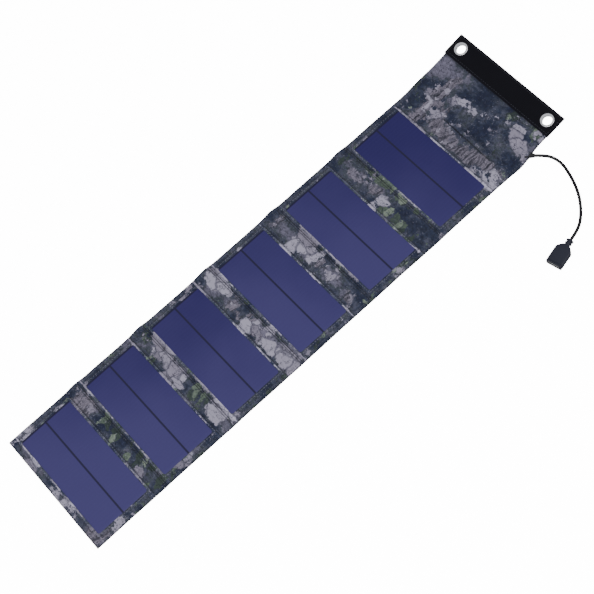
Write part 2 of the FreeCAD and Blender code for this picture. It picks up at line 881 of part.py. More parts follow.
os.makedirs("parts", exist_ok=True)
for item in nodes:
    item.Shape.exportStep(f"parts/{item.Label}.step")
print(f"{len(nodes)} parts written")
for number in range(1, SECTIONS):
    fold_y = (
        -size("strip_length") / 2 + size("end_margin") + number * size("panel_height")
        + (number - 0.5) * size("first_gap") + (number - 1) ** 2 / 2 * size("gap_step")
    )
    print(f"fold_{number}: y {fold_y:.3f} z {size(f'fold_{number}_height'):.3f}")
print(f"pocket fold: y {size('pocket_fold_y'):.3f} z {size('pocket_fold_height'):.3f}")
print(f"exit {tuple(round(v, 2) for v in exit_point())}, tip {tuple(round(v, 2) for v in route[0])}")
print(f"socket neck {tuple(round(v, 2) for v in route[-1])}, turned {SOCKET_TURN:.2f}")
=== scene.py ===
"""Folding camouflage solar charger, laid open: the visual model round the CAD frame.

Lengths are in millimetres until a mesh is made. x runs across the strip and y along its cloth.
"""
import json
import math

import bpy
import numpy as np
from mathutils import Matrix, Vector, noise
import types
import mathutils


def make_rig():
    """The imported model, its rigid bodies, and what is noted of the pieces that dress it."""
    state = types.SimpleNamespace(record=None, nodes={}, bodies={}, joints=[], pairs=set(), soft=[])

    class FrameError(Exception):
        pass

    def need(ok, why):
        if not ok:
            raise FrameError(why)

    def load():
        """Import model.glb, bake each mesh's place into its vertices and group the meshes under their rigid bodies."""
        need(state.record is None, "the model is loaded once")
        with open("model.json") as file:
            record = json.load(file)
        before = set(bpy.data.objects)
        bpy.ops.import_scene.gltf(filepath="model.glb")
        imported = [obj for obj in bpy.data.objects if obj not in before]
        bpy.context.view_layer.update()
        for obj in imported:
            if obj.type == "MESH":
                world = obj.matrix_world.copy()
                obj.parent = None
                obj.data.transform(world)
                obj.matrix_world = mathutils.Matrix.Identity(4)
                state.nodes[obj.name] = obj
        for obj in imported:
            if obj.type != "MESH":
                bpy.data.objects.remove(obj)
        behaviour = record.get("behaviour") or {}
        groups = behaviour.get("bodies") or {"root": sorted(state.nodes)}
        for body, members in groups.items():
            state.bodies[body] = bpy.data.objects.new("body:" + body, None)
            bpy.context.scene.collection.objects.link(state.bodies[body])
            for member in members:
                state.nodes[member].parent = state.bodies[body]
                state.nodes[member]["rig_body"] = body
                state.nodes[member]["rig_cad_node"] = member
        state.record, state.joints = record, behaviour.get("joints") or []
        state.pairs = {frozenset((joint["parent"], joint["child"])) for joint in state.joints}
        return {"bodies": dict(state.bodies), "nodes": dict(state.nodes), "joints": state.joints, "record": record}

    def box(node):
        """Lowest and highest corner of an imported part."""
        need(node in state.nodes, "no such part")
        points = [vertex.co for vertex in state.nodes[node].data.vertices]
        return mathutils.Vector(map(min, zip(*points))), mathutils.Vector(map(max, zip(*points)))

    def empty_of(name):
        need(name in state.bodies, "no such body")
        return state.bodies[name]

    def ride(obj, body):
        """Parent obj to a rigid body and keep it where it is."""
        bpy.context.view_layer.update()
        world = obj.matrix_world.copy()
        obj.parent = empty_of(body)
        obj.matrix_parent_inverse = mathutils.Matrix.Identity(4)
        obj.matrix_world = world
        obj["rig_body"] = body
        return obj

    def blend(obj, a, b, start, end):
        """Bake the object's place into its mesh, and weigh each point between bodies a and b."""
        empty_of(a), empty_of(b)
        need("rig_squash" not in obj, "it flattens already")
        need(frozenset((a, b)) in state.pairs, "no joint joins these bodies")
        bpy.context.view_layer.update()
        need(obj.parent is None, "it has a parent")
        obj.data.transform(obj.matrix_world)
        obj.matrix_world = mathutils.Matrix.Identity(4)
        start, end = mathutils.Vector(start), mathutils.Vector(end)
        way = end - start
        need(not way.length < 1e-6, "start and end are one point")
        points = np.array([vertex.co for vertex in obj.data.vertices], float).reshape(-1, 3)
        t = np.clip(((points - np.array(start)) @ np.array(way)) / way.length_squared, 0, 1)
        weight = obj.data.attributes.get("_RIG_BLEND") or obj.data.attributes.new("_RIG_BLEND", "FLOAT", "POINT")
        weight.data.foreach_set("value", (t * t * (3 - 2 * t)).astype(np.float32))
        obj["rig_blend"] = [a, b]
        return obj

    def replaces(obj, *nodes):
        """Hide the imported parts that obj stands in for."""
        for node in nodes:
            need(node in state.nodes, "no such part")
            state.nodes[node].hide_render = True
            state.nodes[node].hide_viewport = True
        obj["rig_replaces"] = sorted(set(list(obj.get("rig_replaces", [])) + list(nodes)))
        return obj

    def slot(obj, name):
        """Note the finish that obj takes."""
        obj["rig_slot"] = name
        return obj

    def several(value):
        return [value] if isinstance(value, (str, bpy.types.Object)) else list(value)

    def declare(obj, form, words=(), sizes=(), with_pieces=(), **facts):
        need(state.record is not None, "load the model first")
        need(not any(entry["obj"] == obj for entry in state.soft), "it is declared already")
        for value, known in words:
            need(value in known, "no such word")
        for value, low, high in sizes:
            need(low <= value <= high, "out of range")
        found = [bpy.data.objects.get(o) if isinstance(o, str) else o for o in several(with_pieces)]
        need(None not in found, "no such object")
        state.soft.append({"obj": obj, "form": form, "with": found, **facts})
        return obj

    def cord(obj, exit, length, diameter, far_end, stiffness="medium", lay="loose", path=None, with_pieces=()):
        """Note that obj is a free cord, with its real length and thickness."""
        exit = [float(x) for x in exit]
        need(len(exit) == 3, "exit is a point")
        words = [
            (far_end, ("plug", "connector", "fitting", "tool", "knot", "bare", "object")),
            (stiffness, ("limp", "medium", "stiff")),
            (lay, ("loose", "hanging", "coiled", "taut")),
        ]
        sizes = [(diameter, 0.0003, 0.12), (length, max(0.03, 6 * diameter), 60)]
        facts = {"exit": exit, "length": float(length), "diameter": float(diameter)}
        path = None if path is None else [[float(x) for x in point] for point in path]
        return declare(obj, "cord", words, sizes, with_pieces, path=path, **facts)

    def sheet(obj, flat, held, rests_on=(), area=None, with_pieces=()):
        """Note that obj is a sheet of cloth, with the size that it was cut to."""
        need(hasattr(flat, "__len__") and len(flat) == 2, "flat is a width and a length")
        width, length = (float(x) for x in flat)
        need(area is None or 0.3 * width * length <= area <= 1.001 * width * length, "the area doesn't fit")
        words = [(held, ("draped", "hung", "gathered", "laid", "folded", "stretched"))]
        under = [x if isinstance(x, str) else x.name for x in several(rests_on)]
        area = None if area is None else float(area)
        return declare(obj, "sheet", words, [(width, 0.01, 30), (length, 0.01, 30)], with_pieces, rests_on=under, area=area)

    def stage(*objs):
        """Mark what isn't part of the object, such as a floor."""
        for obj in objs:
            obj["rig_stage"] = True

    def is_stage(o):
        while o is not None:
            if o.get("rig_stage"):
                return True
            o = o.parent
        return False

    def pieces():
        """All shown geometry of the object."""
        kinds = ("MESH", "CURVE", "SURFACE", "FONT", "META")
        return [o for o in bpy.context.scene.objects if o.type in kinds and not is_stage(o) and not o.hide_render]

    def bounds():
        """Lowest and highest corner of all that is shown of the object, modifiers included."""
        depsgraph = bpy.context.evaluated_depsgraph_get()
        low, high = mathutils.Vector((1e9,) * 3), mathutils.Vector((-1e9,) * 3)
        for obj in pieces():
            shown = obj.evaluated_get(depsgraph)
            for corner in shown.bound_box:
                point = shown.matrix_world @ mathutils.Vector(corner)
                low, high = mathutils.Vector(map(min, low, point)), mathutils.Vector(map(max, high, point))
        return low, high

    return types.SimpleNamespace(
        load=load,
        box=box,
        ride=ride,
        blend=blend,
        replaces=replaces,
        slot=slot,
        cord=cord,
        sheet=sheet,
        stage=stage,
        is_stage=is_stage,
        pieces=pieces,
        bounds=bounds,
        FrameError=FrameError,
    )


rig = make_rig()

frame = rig.load()
nodes = frame["nodes"]
cad_low, cad_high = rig.bounds()
MM = 0.001

# ---- layout
SECTIONS = (1, 2, 3, 4, 5, 6)
LAST = SECTIONS[-1]
SIDES = ((-1, "left"), (1, "right"))
WINDOW_OVERLAP = 2.5  # the fabric laps this far over the laminate
WINDOW_CORNER = 2.5
LAP_END = 2.7  # from a window's edge to where the cloth starts down to the gap
HANDOVER = 4.6  # from a window's edge to where the folding fabric starts
FABRIC = 0.55
CLOTH_FLOOR = 0.64  # lowest underside of the printed cloth
HALF_WIDTH = cad_low.x / -MM
TILT = math.radians(12)  # how far the pocket leans up from the floor
FOLD_PLACE = 242.9  # the middle of the rise into the pocket, along the cloth
RISE_START, RISE_END = FOLD_PLACE - 5.0, FOLD_PLACE + 5.0
RISE_STEPS = 24
POCKET_START = 244.87  # the pocket's own zero, along the cloth
POCKET_Y, POCKET_Z = 244.83, 0.4097  # that zero in the frame
RISE_BLEND_END = 252.0  # the cloth turns wholly with the pocket from here
POCKET_SEAM = 252.9  # where the pocket's rigid cloth takes over
POCKET_CLOTH_END = 66.0  # in the pocket's own length
BAND_FRONT, BAND_BACK = 60.0, 87.4
GAP_HEIGHT = 1.55  # top of the two layers and the ribbons between panels
PANEL_TOP = 3.12  # top of the fabric over the laminate's edge


def panel_box(k):
    low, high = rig.box(f"top_film_{k}")
    return low / MM, high / MM


PANEL_Y = {k: sum(p.y for p in panel_box(k)) / 2 for k in SECTIONS}
film_low, film_high = panel_box(1)
FILM_TOP, FILM_BASE = film_high.z, film_low.z
WINDOW_X = film_high.x - WINDOW_OVERLAP
WINDOW_Y = (film_high.y - film_low.y) / 2 - WINDOW_OVERLAP
STRAIGHT_X, STRAIGHT_Y = WINDOW_X - WINDOW_CORNER, WINDOW_Y - WINDOW_CORNER
STRIP_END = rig.box("back_cover_1")[0].y / MM
FOLD_Y = {k: (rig.box(f"back_cover_{k}")[1].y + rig.box(f"back_cover_{k + 1}")[0].y) / 2 / MM for k in SECTIONS[:-1]}
FOLD_Y[LAST] = FOLD_PLACE


def clamp(v):
    return min(1.0, max(0.0, v))


def smooth(a, b, v):
    """0 before a, 1 after b, and an even curve between them."""
    t = clamp((v - a) / (b - a))
    return t * t * (3 - 2 * t)


def groove(v, at, width):
    """A bell of height 1 round a place."""
    return math.exp(-(((v - at) / width) ** 2))


def mirrored(values):
    return [s * v for s in (-1, 1) for v in values]


def srgb(r, g, b):
    """Linear colour of 0-255 display values."""
    def one(v):
        v /= 255
        return v / 12.92 if v <= 0.04045 else ((v + 0.055) / 1.055) ** 2.4
    return (one(r), one(g), one(b), 1.0)


def grey(v):
    return (v, v, v, 1.0)


# ---- camera
CAMERA_AZIMUTH, CAMERA_ELEVATION, CAMERA_ROLL = 71.722, 64.31, 25.196
CAMERA_DISTANCE = 1.5856
CAMERA_TARGET = Vector((0.01714, -0.00421, 0.0))
CAMERA_LENS = 90.96


def place_camera():
    azimuth, elevation, roll = (math.radians(v) for v in (CAMERA_AZIMUTH, CAMERA_ELEVATION, CAMERA_ROLL))
    flat = math.cos(elevation)
    back = Vector((math.sin(azimuth) * flat, -math.cos(azimuth) * flat, math.sin(elevation)))
    right = Vector((math.cos(azimuth), math.sin(azimuth), 0))
    down = -back.cross(right)
    side = right * math.cos(roll) + down * math.sin(roll)
    fall = down * math.cos(roll) - right * math.sin(roll)
    data = bpy.data.cameras.new("camera")
    data.lens, data.sensor_width = CAMERA_LENS, 36
    data.clip_start = 0.05
    camera = bpy.data.objects.new("camera", data)
    bpy.context.scene.collection.objects.link(camera)
    turn = Matrix((side, -fall, back)).transposed().to_4x4()
    camera.matrix_world = Matrix.Translation(CAMERA_TARGET + back * CAMERA_DISTANCE) @ turn
    bpy.context.scene.camera = camera


place_camera()

# ---- materials
HALF_WAVE = 0.157  # a wave texture at this scale has bands 1 unit wide


class Shader:
    """A node material with a Principled shader, and short ways to add nodes."""

    def __init__(self, name, roughness=0.5, metallic=0.0, sheen=0.0, specular=0.5):
        self.material = bpy.data.materials.new(name)
        self.material.use_nodes = True
        self.tree = self.material.node_tree
        self.sockets = self.tree.nodes["Principled BSDF"].inputs
        for socket, value in (
            ("Roughness", roughness), ("Metallic", metallic), ("Sheen Weight", sheen), ("Specular IOR Level", specular)
        ):
            self.sockets[socket].default_value = value

    def put(self, socket, value):
        if isinstance(value, bpy.types.NodeSocket):
            self.tree.links.new(value, socket)
        elif value is not None:
            socket.default_value = value

    def node(self, kind, inputs=(), **settings):
        made = self.tree.nodes.new(kind)
        for name, value in settings.items():
            setattr(made, name, value)
        for name, value in dict(inputs).items():
            self.put(made.inputs[name], value)
        return made

    def stored(self, attribute, output="Fac"):
        return self.node("ShaderNodeAttribute", attribute_name=attribute).outputs[output]

    def place(self):
        """The flat place on the cloth, stored in the mesh."""
        return self.stored("flat_place", "Vector")

    def object_place(self):
        return self.node("ShaderNodeTexCoord").outputs["Object"]

    def split(self, colour):
        return self.node("ShaderNodeSeparateColor", {"Color": colour}).outputs

    def math(self, operation, a, b=None):
        return self.node("ShaderNodeMath", {0: a, 1: b}, operation=operation).outputs[0]

    def plus(self, a, b):
        return self.math("ADD", a, b)

    def minus(self, a, b):
        return self.math("SUBTRACT", a, b)

    def times(self, a, b):
        return self.math("MULTIPLY", a, b)

    def spread(self, texture, amount):
        """A texture about its middle of 0.5, times an amount."""
        return self.times(self.minus(texture, 0.5), amount)

    def mapped(self, vector, scale=(1, 1, 1), turn=0.0, shift=(0, 0, 0)):
        inputs = {"Vector": vector, "Scale": scale, "Rotation": (0, 0, math.radians(turn)), "Location": shift}
        return self.node("ShaderNodeMapping", inputs).outputs[0]

    def noise(self, vector, scale, detail=4.0, roughness=0.5, output="Fac"):
        inputs = {"Vector": vector, "Scale": scale, "Detail": detail, "Roughness": roughness}
        return self.node("ShaderNodeTexNoise", inputs).outputs[output]

    def cells(self, vector, scale, feature="F1"):
        return self.node("ShaderNodeTexVoronoi", {"Vector": vector, "Scale": scale}, feature=feature).outputs

    def wave(self, vector, band, direction="X", distortion=0.0, detail=0.0):
        """Ridges and hollows across a direction, each one band wide, in metres."""
        inputs = {"Vector": vector, "Scale": HALF_WAVE / band, "Distortion": distortion, "Detail": detail}
        return self.node("ShaderNodeTexWave", inputs, bands_direction=direction).outputs["Fac"]

    def ramp(self, value, stops):
        made = self.node("ShaderNodeValToRGB", {"Fac": value})
        elements = made.color_ramp.elements
        elements.remove(elements[1])
        elements[0].position, elements[0].color = stops[0]
        for place, colour in stops[1:]:
            elements.new(place).color = colour
        return made.outputs["Color"]

    def step(self, value, low, high):
        inputs = {"Value": value, "From Min": low, "From Max": high}
        return self.node("ShaderNodeMapRange", inputs, interpolation_type="SMOOTHSTEP").outputs[0]

    def mix(self, share, a, b, blend="MIX"):
        return self.node("ShaderNodeMix", {0: share, 6: a, 7: b}, data_type="RGBA", blend_type=blend).outputs[2]

    def vector(self, operation, a, socket, b):
        return self.node("ShaderNodeVectorMath", {0: a, socket: b}, operation=operation).outputs[0]

    def warp(self, vector, scale, amount):
        """The vector, pushed about by noise of a scale."""
        centred = self.vector("SUBTRACT", self.noise(vector, scale, 3.0, output="Color"), 1, (0.5, 0.5, 0.5))
        return self.vector("ADD", vector, 1, self.vector("SCALE", centred, "Scale", amount))

    def colour(self, value):
        self.put(self.sockets["Base Color"], value)

    def toned(self, value):
        """The surface's colour, times the brightness stored in the mesh, which holds painted shade and painted
        highlight.
        """
        tone = self.stored("tone")
        shade = self.node("ShaderNodeCombineColor", {"Red": tone, "Green": tone, "Blue": tone}).outputs[0]
        self.colour(self.mix(1.0, value, shade, "MULTIPLY"))

    def rough(self, texture, low, high):
        inputs = {"Value": texture, "To Min": low, "To Max": high}
        self.put(self.sockets["Roughness"], self.node("ShaderNodeMapRange", inputs).outputs[0])

    def relief(self, *layers):
        """Bumps, one on another, the first lowest: each a height, its distance in metres and its strength."""
        normal = None
        for height, distance, strength in layers:
            inputs = {"Height": height, "Distance": distance, "Strength": strength, "Normal": normal}
            normal = self.node("ShaderNodeBump", inputs).outputs[0]
        self.put(self.sockets["Normal"], normal)


def canvas_weave(s, place, thread):
    """Height of a plain weave: threads going over and under each other."""
    return s.math("MAXIMUM", s.wave(place, thread, "X"), s.wave(place, thread, "Y"))


def camo_material():
    """Printed woodland pattern on canvas: slate and navy ground, bark, leaves and twigs."""
    s = Shader("camo_fabric", roughness=0.85, sheen=0.06, specular=0.22)
    place = s.place()
    light, green, bark = s.split(s.stored("pattern", "Color"))[:3]
    loose = s.warp(place, 90, 0.010)
    ragged = s.noise(s.warp(place, 300, 0.004), 130, 6.0, 0.66)
    broad = s.noise(loose, 46, 8.0, 0.62)
    mottle = s.noise(place, 330, 5.0, 0.65)

    ground = s.ramp(s.plus(broad, s.times(s.stored("wash"), 0.3)), [
        (0.00, srgb(22, 26, 42)), (0.36, srgb(28, 33, 54)), (0.44, srgb(36, 42, 60)), (0.49, srgb(50, 54, 70)),
        (0.53, srgb(64, 66, 82)), (0.56, srgb(48, 55, 62)), (0.62, srgb(78, 77, 92)), (0.74, srgb(98, 95, 112)),
    ])
    ground = s.mix(0.8, ground, s.ramp(mottle, [(0.30, grey(0.28)), (0.50, grey(0.5)), (0.70, grey(0.74))]), "OVERLAY")

    def leaves(ground, zone, vector, scale, seed, cut, stops):
        """The ground with ragged, veined leaf shapes on it, which show only where their zone is strong."""
        moved = s.mapped(vector, shift=(seed, seed * 0.7, 0))
        chance = s.split(s.cells(moved, scale)["Color"])
        total = s.plus(s.plus(zone, s.spread(chance[0], 0.75)), s.spread(ragged, 1.4))
        body = s.ramp(s.plus(s.times(chance[1], 0.6), s.times(mottle, 0.5)), stops)
        between = s.step(s.cells(moved, scale, "DISTANCE_TO_EDGE")["Distance"], 0.01, 0.07)
        body = s.mix(s.times(s.minus(1.0, between), 0.6), body, srgb(40, 42, 56))
        return s.mix(s.step(total, cut, cut + 0.05), ground, body)

    ground = leaves(ground, green, s.mapped(loose, (1.0, 0.5, 1.0), turn=38), 130, 0.37, 0.62, [
        (0.15, srgb(36, 46, 46)), (0.42, srgb(50, 60, 56)), (0.64, srgb(74, 86, 76)), (0.84, srgb(116, 126, 114)),
    ])

    # bark: long streaks that run the way a branch does
    run = s.mapped(s.warp(s.warp(place, 22, 0.022), 120, 0.005), turn=-83)
    streak = s.noise(s.mapped(run, (46, 380, 60)), 1.0, 6.0, 0.7)
    bark_body = s.ramp(s.plus(s.times(streak, 0.8), s.times(mottle, 0.2)), [
        (0.36, srgb(24, 26, 38)), (0.43, srgb(52, 52, 62)), (0.50, srgb(86, 82, 94)),
        (0.55, srgb(122, 116, 130)), (0.60, srgb(76, 72, 82)), (0.66, srgb(136, 130, 146)),
    ])
    ground = s.mix(s.step(s.plus(bark, s.spread(ragged, 1.6)), 0.56, 0.64), ground, bark_body)

    ground = leaves(ground, light, s.mapped(loose, (0.8, 1.0, 1.0), turn=-24), 58, 1.13, 0.66, [
        (0.15, srgb(96, 92, 106)), (0.40, srgb(126, 121, 137)), (0.80, srgb(150, 146, 163)),
    ])

    # twigs: thin dark lines, and small pale flecks
    line = s.math("ABSOLUTE", s.minus(s.noise(s.mapped(place, (1, 1.6, 1), turn=30), 95, 5.0, 0.6), 0.5))
    twig = s.minus(1.0, s.step(line, 0.004, 0.018))
    ground = s.mix(s.times(twig, 0.8), ground, srgb(22, 24, 36))
    fleck = s.step(s.noise(s.mapped(place, shift=(3.1, 0, 0)), 430, 4.0, 0.7), 0.61, 0.68)
    # times the stored brightness: painted shade in the channels, the crease and along the edges, and pale turned hems
    s.toned(s.mix(s.times(fleck, 0.6), ground, srgb(124, 122, 138)))
    s.rough(s.noise(place, 2600, 3.0, 0.7), 0.74, 0.94)
    s.relief((canvas_weave(s, place, 0.00055), 0.00012, 0.7), (s.noise(place, 210, 5.0, 0.6), 0.0007, 0.5))
    return s.material


def backing_material():
    """Plain dark cloth of the underside, with a ripstop grid."""
    s = Shader("backing_fabric", roughness=0.85, sheen=0.2, specular=0.3)
    place = s.place()
    base = s.mix(s.noise(place, 30, 5.0, 0.6), srgb(38, 41, 50), srgb(50, 53, 63))
    ridge = s.step(canvas_weave(s, place, 0.005), 0.985, 1.0)
    # times the stored brightness, with painted shade along the edges
    s.toned(s.mix(s.times(ridge, 0.5), base, srgb(66, 70, 82)))
    s.relief(
        (canvas_weave(s, place, 0.0004), 0.0001, 0.8), (s.plus(ridge, s.noise(place, 120, 4.0)), 0.0003, 0.4))
    return s.material


def cell_material():
    """Blue-violet cells under a satin film, with the dark joint between the two rows and fine fingers."""
    s = Shader("solar_cell", roughness=0.42, specular=0.3)
    place = s.place()
    speck = s.noise(place, 900, 3.0, 0.7)
    # the stored paleness is partly painted reflection and partly the cells' own colour
    shade = s.plus(s.stored("tint"), s.spread(s.noise(place, 9, 3.0, 0.5), 0.9))
    base = s.mix(s.step(shade, 0.0, 1.0), srgb(29, 22, 76), srgb(54, 49, 96))
    base = s.mix(s.times(speck, 0.12), base, srgb(62, 56, 112))
    finger = s.step(s.wave(place, 0.0021), 0.93, 1.0)
    base = s.mix(s.times(finger, 0.05), base, srgb(80, 80, 134))
    gap = s.mix(speck, srgb(20, 18, 46), srgb(28, 25, 56))
    s.colour(s.mix(s.stored("cell"), gap, base))
    s.rough(speck, 0.36, 0.48)
    s.relief((speck, 0.00006, 0.5), (s.noise(place, 26, 2.0, 0.5), 0.0011, 0.35))
    return s.material


def webbing_material():
    """Black nylon with a fine rib across the band."""
    s = Shader("band_webbing", roughness=0.8, sheen=0.02, specular=0.12)
    place = s.place()
    base = s.mix(s.noise(place, 70, 4.0, 0.6), srgb(6, 5, 11), srgb(11, 10, 18))
    rib = s.wave(place, 0.0011, "X", 0.6, 2.0)
    pick = s.wave(place, 0.0007, "Y")
    # times the stored brightness, which paints highlights along the band's folded edges
    s.toned(s.mix(s.times(rib, 0.2), base, srgb(20, 20, 28)))
    s.relief((s.times(rib, s.plus(pick, 0.6)), 0.00018, 0.8), (s.noise(place, 160, 4.0), 0.0005, 0.4))
    return s.material


def moulded(name, colour, roughness, grain_scale=1800, grain=0.00003, specular=0.5):
    """Moulded plastic or rubber with a fine spark-eroded grain and slight handling wear."""
    s = Shader(name, roughness=roughness, specular=specular)
    place = s.object_place()
    wear = s.noise(place, 60, 4.0, 0.6)
    darker = tuple(v * 0.75 for v in colour[:3]) + (1.0,)
    s.colour(s.mix(wear, darker, colour))
    s.rough(wear, roughness - 0.08, roughness + 0.08)
    s.relief((s.noise(place, grain_scale, 3.0, 0.6), grain, 0.6))
    return s.material


def metal(name, colour, roughness, brushed=0.0):
    """Plated or polished metal with faint hairlines and a little tarnish."""
    s = Shader(name, roughness=roughness, metallic=1.0)
    place = s.object_place()
    tarnish = s.noise(place, 220, 4.0, 0.6)
    dull = tuple(v * 0.82 for v in colour[:3]) + (1.0,)
    s.colour(s.mix(tarnish, dull, colour))
    s.rough(tarnish, max(0.05, roughness - 0.06), roughness + 0.08)
    hair = s.noise(s.mapped(place, (300, 4000, 300)), 1.0, 2.0) if brushed else s.noise(place, 900, 2.0)
    s.relief((hair, 0.00003, 0.25 + brushed))
    return s.material


def thread_material(name, dark, pale):
    s = Shader(name, roughness=0.6, sheen=0.2, specular=0.4)
    place = s.place()
    s.colour(s.mix(s.noise(place, 500, 3.0), dark, pale))
    s.relief((s.wave(s.mapped(place, turn=45), 0.00035), 0.00008, 0.8))
    return s.material


CAMO = camo_material()
BACKING = backing_material()
CELL = cell_material()
WEBBING = webbing_material()
THREAD = thread_material("thread_grey", srgb(84, 84, 98), srgb(116, 115, 128))
HEM_THREAD = thread_material("thread_slate", srgb(50, 53, 66), srgb(84, 86, 100))
DARK_THREAD = thread_material("thread_dark", srgb(24, 26, 36), srgb(44, 47, 60))
SHEATH = moulded("lead_sheath", srgb(13, 13, 16), 0.5, 900, 0.00002, 0.3)
PLASTIC = moulded("black_plastic", srgb(31, 33, 46), 0.52, specular=0.3)
CASE_PLASTIC = moulded("case_plastic", srgb(20, 20, 24), 0.6, specular=0.35)
NICKEL = metal("eyelet_metal", srgb(248, 248, 250), 0.36)
USB_STEEL = metal("usb_metal", srgb(206, 206, 208), 0.3, 0.3)
GOLD = metal("contact_metal", srgb(226, 190, 110), 0.25)
COPPER = metal("feed_ribbon", srgb(206, 150, 110), 0.35, 0.3)
BOARD = moulded("stiffener", srgb(218, 215, 206), 0.85, 700, 0.00005)
LAMINATE = moulded("laminate_base", srgb(36, 38, 46), 0.6, 1400, 0.00004)
CIRCUIT = moulded("circuit_board", srgb(36, 104, 66), 0.45)
CHIPS = moulded("components", srgb(46, 46, 50), 0.5)
INSULATOR = moulded("usb_insulator", srgb(232, 232, 230), 0.4)
NODE_MATERIALS = {
    "backing_board": BOARD, "laminate_base": LAMINATE, "feed_ribbons": COPPER, "eyelets": NICKEL,
    "eyelet_washers": NICKEL,
    "regulator_case_base": CASE_PLASTIC, "regulator_case_lid": CASE_PLASTIC, "regulator_circuit": CIRCUIT,
    "regulator_components": CHIPS, "inner_lead": SHEATH, "lead_grommet": CASE_PLASTIC,
    "usb_shell": USB_STEEL, "usb_tongue": INSULATOR, "usb_contacts": GOLD,
}
for name, node in nodes.items():
    for start, material in NODE_MATERIALS.items():
        if name.startswith(start):
            node.data.materials.clear()
            node.data.materials.append(material)


# ---- mesh tools
def finish_mesh(name, points, faces, material, place=None, pattern=None, values=None, sharp=40):
    """An object from points in millimetres, with its stored places, print pattern and per-point values."""
    mesh = bpy.data.meshes.new(name)
    mesh.from_pydata([tuple(v * MM for v in p) for p in points], [], faces)
    mesh.update()
    if place is not None:
        layer = mesh.attributes.new("flat_place", "FLOAT_VECTOR", "POINT")
        layer.data.foreach_set("vector", (np.asarray(place, np.float32) * MM).ravel())
    if pattern is not None:
        layer = mesh.attributes.new("pattern", "FLOAT_COLOR", "POINT")
        full = np.ones((len(points), 4), np.float32)
        full[:, :3] = pattern
        layer.data.foreach_set("color", full.ravel())
    for key, numbers in (values or {}).items():
        layer = mesh.attributes.new(key, "FLOAT", "POINT")
        layer.data.foreach_set("value", np.asarray(numbers, np.float32).ravel())
    mesh.shade_smooth()
    mesh.set_sharp_from_angle(angle=math.radians(sharp))
    mesh.materials.append(material)
    made = bpy.data.objects.new(name, mesh)
    bpy.context.scene.collection.objects.link(made)
    return made


def lines(low, high, pitch, fine=()):
    """Grid lines from low to high, about pitch apart, with all the fine ones kept."""
    fixed = sorted({low, high, *[f for f in fine if low < f < high]})
    result = []
    for a, b in zip(fixed, fixed[1:]):
        steps = max(1, round((b - a) / pitch))
        result += [a + (b - a) * t / steps for t in range(steps)]
    return result + [high]


def closed_grid(
    name, xs, ys, top, bottom, material, hole=None, outline=None, where=None, pattern=None, values=None
):
    """A closed sheet over a grid of lines.

    top and bottom give heights over a flat place, outline shifts the flat place, where lifts it into space.
    """
    index, points, place, faces = {}, [], [], []

    def corner(i, j, side):
        key = (i, j, side)
        if key not in index:
            x, y = outline(xs[i], ys[j]) if outline else (xs[i], ys[j])
            z = (top if side else bottom)(x, y)
            index[key] = len(points)
            points.append(where(x, y, z) if where else (x, y, z))
            place.append((x, y, z))
        return index[key]

    def inside(i, j):
        if not hole:
            return False
        return hole[0] <= (xs[i] + xs[i + 1]) / 2 <= hole[1] and hole[2] <= (ys[j] + ys[j + 1]) / 2 <= hole[3]

    kept = {(i, j) for i in range(len(xs) - 1) for j in range(len(ys) - 1) if not inside(i, j)}
    for i, j in sorted(kept):
        ring = [(i, j), (i + 1, j), (i + 1, j + 1), (i, j + 1)]
        faces.append([corner(*c, 1) for c in ring])
        faces.append([corner(*c, 0) for c in reversed(ring)])
        for beside, a, b in zip([(i, j - 1), (i + 1, j), (i, j + 1), (i - 1, j)], ring, ring[1:] + ring[:1]):
            if beside not in kept:
                faces.append([corner(*a, 0), corner(*b, 0), corner(*b, 1), corner(*a, 1)])
    stored = {key: [rule(p[0], p[1]) for p in place] for key, rule in (values or {}).items()}
    paint = [pattern(p[0], p[1]) for p in place] if pattern else None
    return finish_mesh(name, points, faces, material, place, paint, stored)


def tube_faces(rings, around, first=0):
    """Faces between rings of points that follow each other, closed at both ends."""
    faces = []
    for start in range(first, first + (rings - 1) * around, around):
        for n in range(around):
            a, b = start + n, start + (n + 1) % around
            faces.append([a, b, b + around, a + around])
    faces.append([first + n for n in range(around)][::-1])
    faces.append([first + (rings - 1) * around + n for n in range(around)])
    return faces


def revolve(name, profile, material, frame_at, around):
    """A turned solid: profile is (along, radius) pairs, frame_at = (origin, axis, side, up) in millimetres."""
    origin, axis, side, up = frame_at
    points = []
    for along, radius in profile:
        for n in range(around):
            turn = 2 * math.pi * n / around
            points.append(tuple(origin + axis * along + (side * math.cos(turn) + up * math.sin(turn)) * radius))
    return finish_mesh(name, points, tube_faces(len(profile), around), material)


# ---- shape of the cloth
# how far the cloth bulges outwards beside each fold, on the plain side and on the lead's side
FOLD_SWELL = {
    -1: {1: 1.2, 2: 1.4, 3: 1.3, 4: 1.6, 5: 1.2, 6: 0.2},
    1: {1: 0.3, 2: 0.3, 3: 0.2, 4: 0.0, 5: 0.2, 6: -0.3},
}
POCKET_SWELL = {-1: 0.0, 1: 2.2}  # and beside the pocket, round its lead
POCKET_WAIST = {-1: 1.5, 1: 1.5 * 0.3}  # how far the pocket draws in before its band
SIDE_START = 72.0  # the edge's shape starts here, from the strip's middle
CASE_X = (11.0, 57.0)
CASE_Y = (14.0, 50.0)
LEAD_PLACE = 33.9  # along the pocket, where the lead leaves its side
CASE_RISE = 6.35  # how far the case inside holds the pocket's cloth up
RIDGE_HEIGHT, RIDGE_DROP = 5.1, 2.2  # of the ridge over the lead inside, and how much it loses towards the edge
BOARD_SEAM = 3.1  # from a window's edge, along the strip
FOLD_SEAMS = (4.7, 6.8)  # from the next window's edge, back along the strip
SEAM_WIDTH = 0.4
HEM_START, HEM_FULL = 73.3, 74.2  # where the turned side hems begin, from the strip's middle
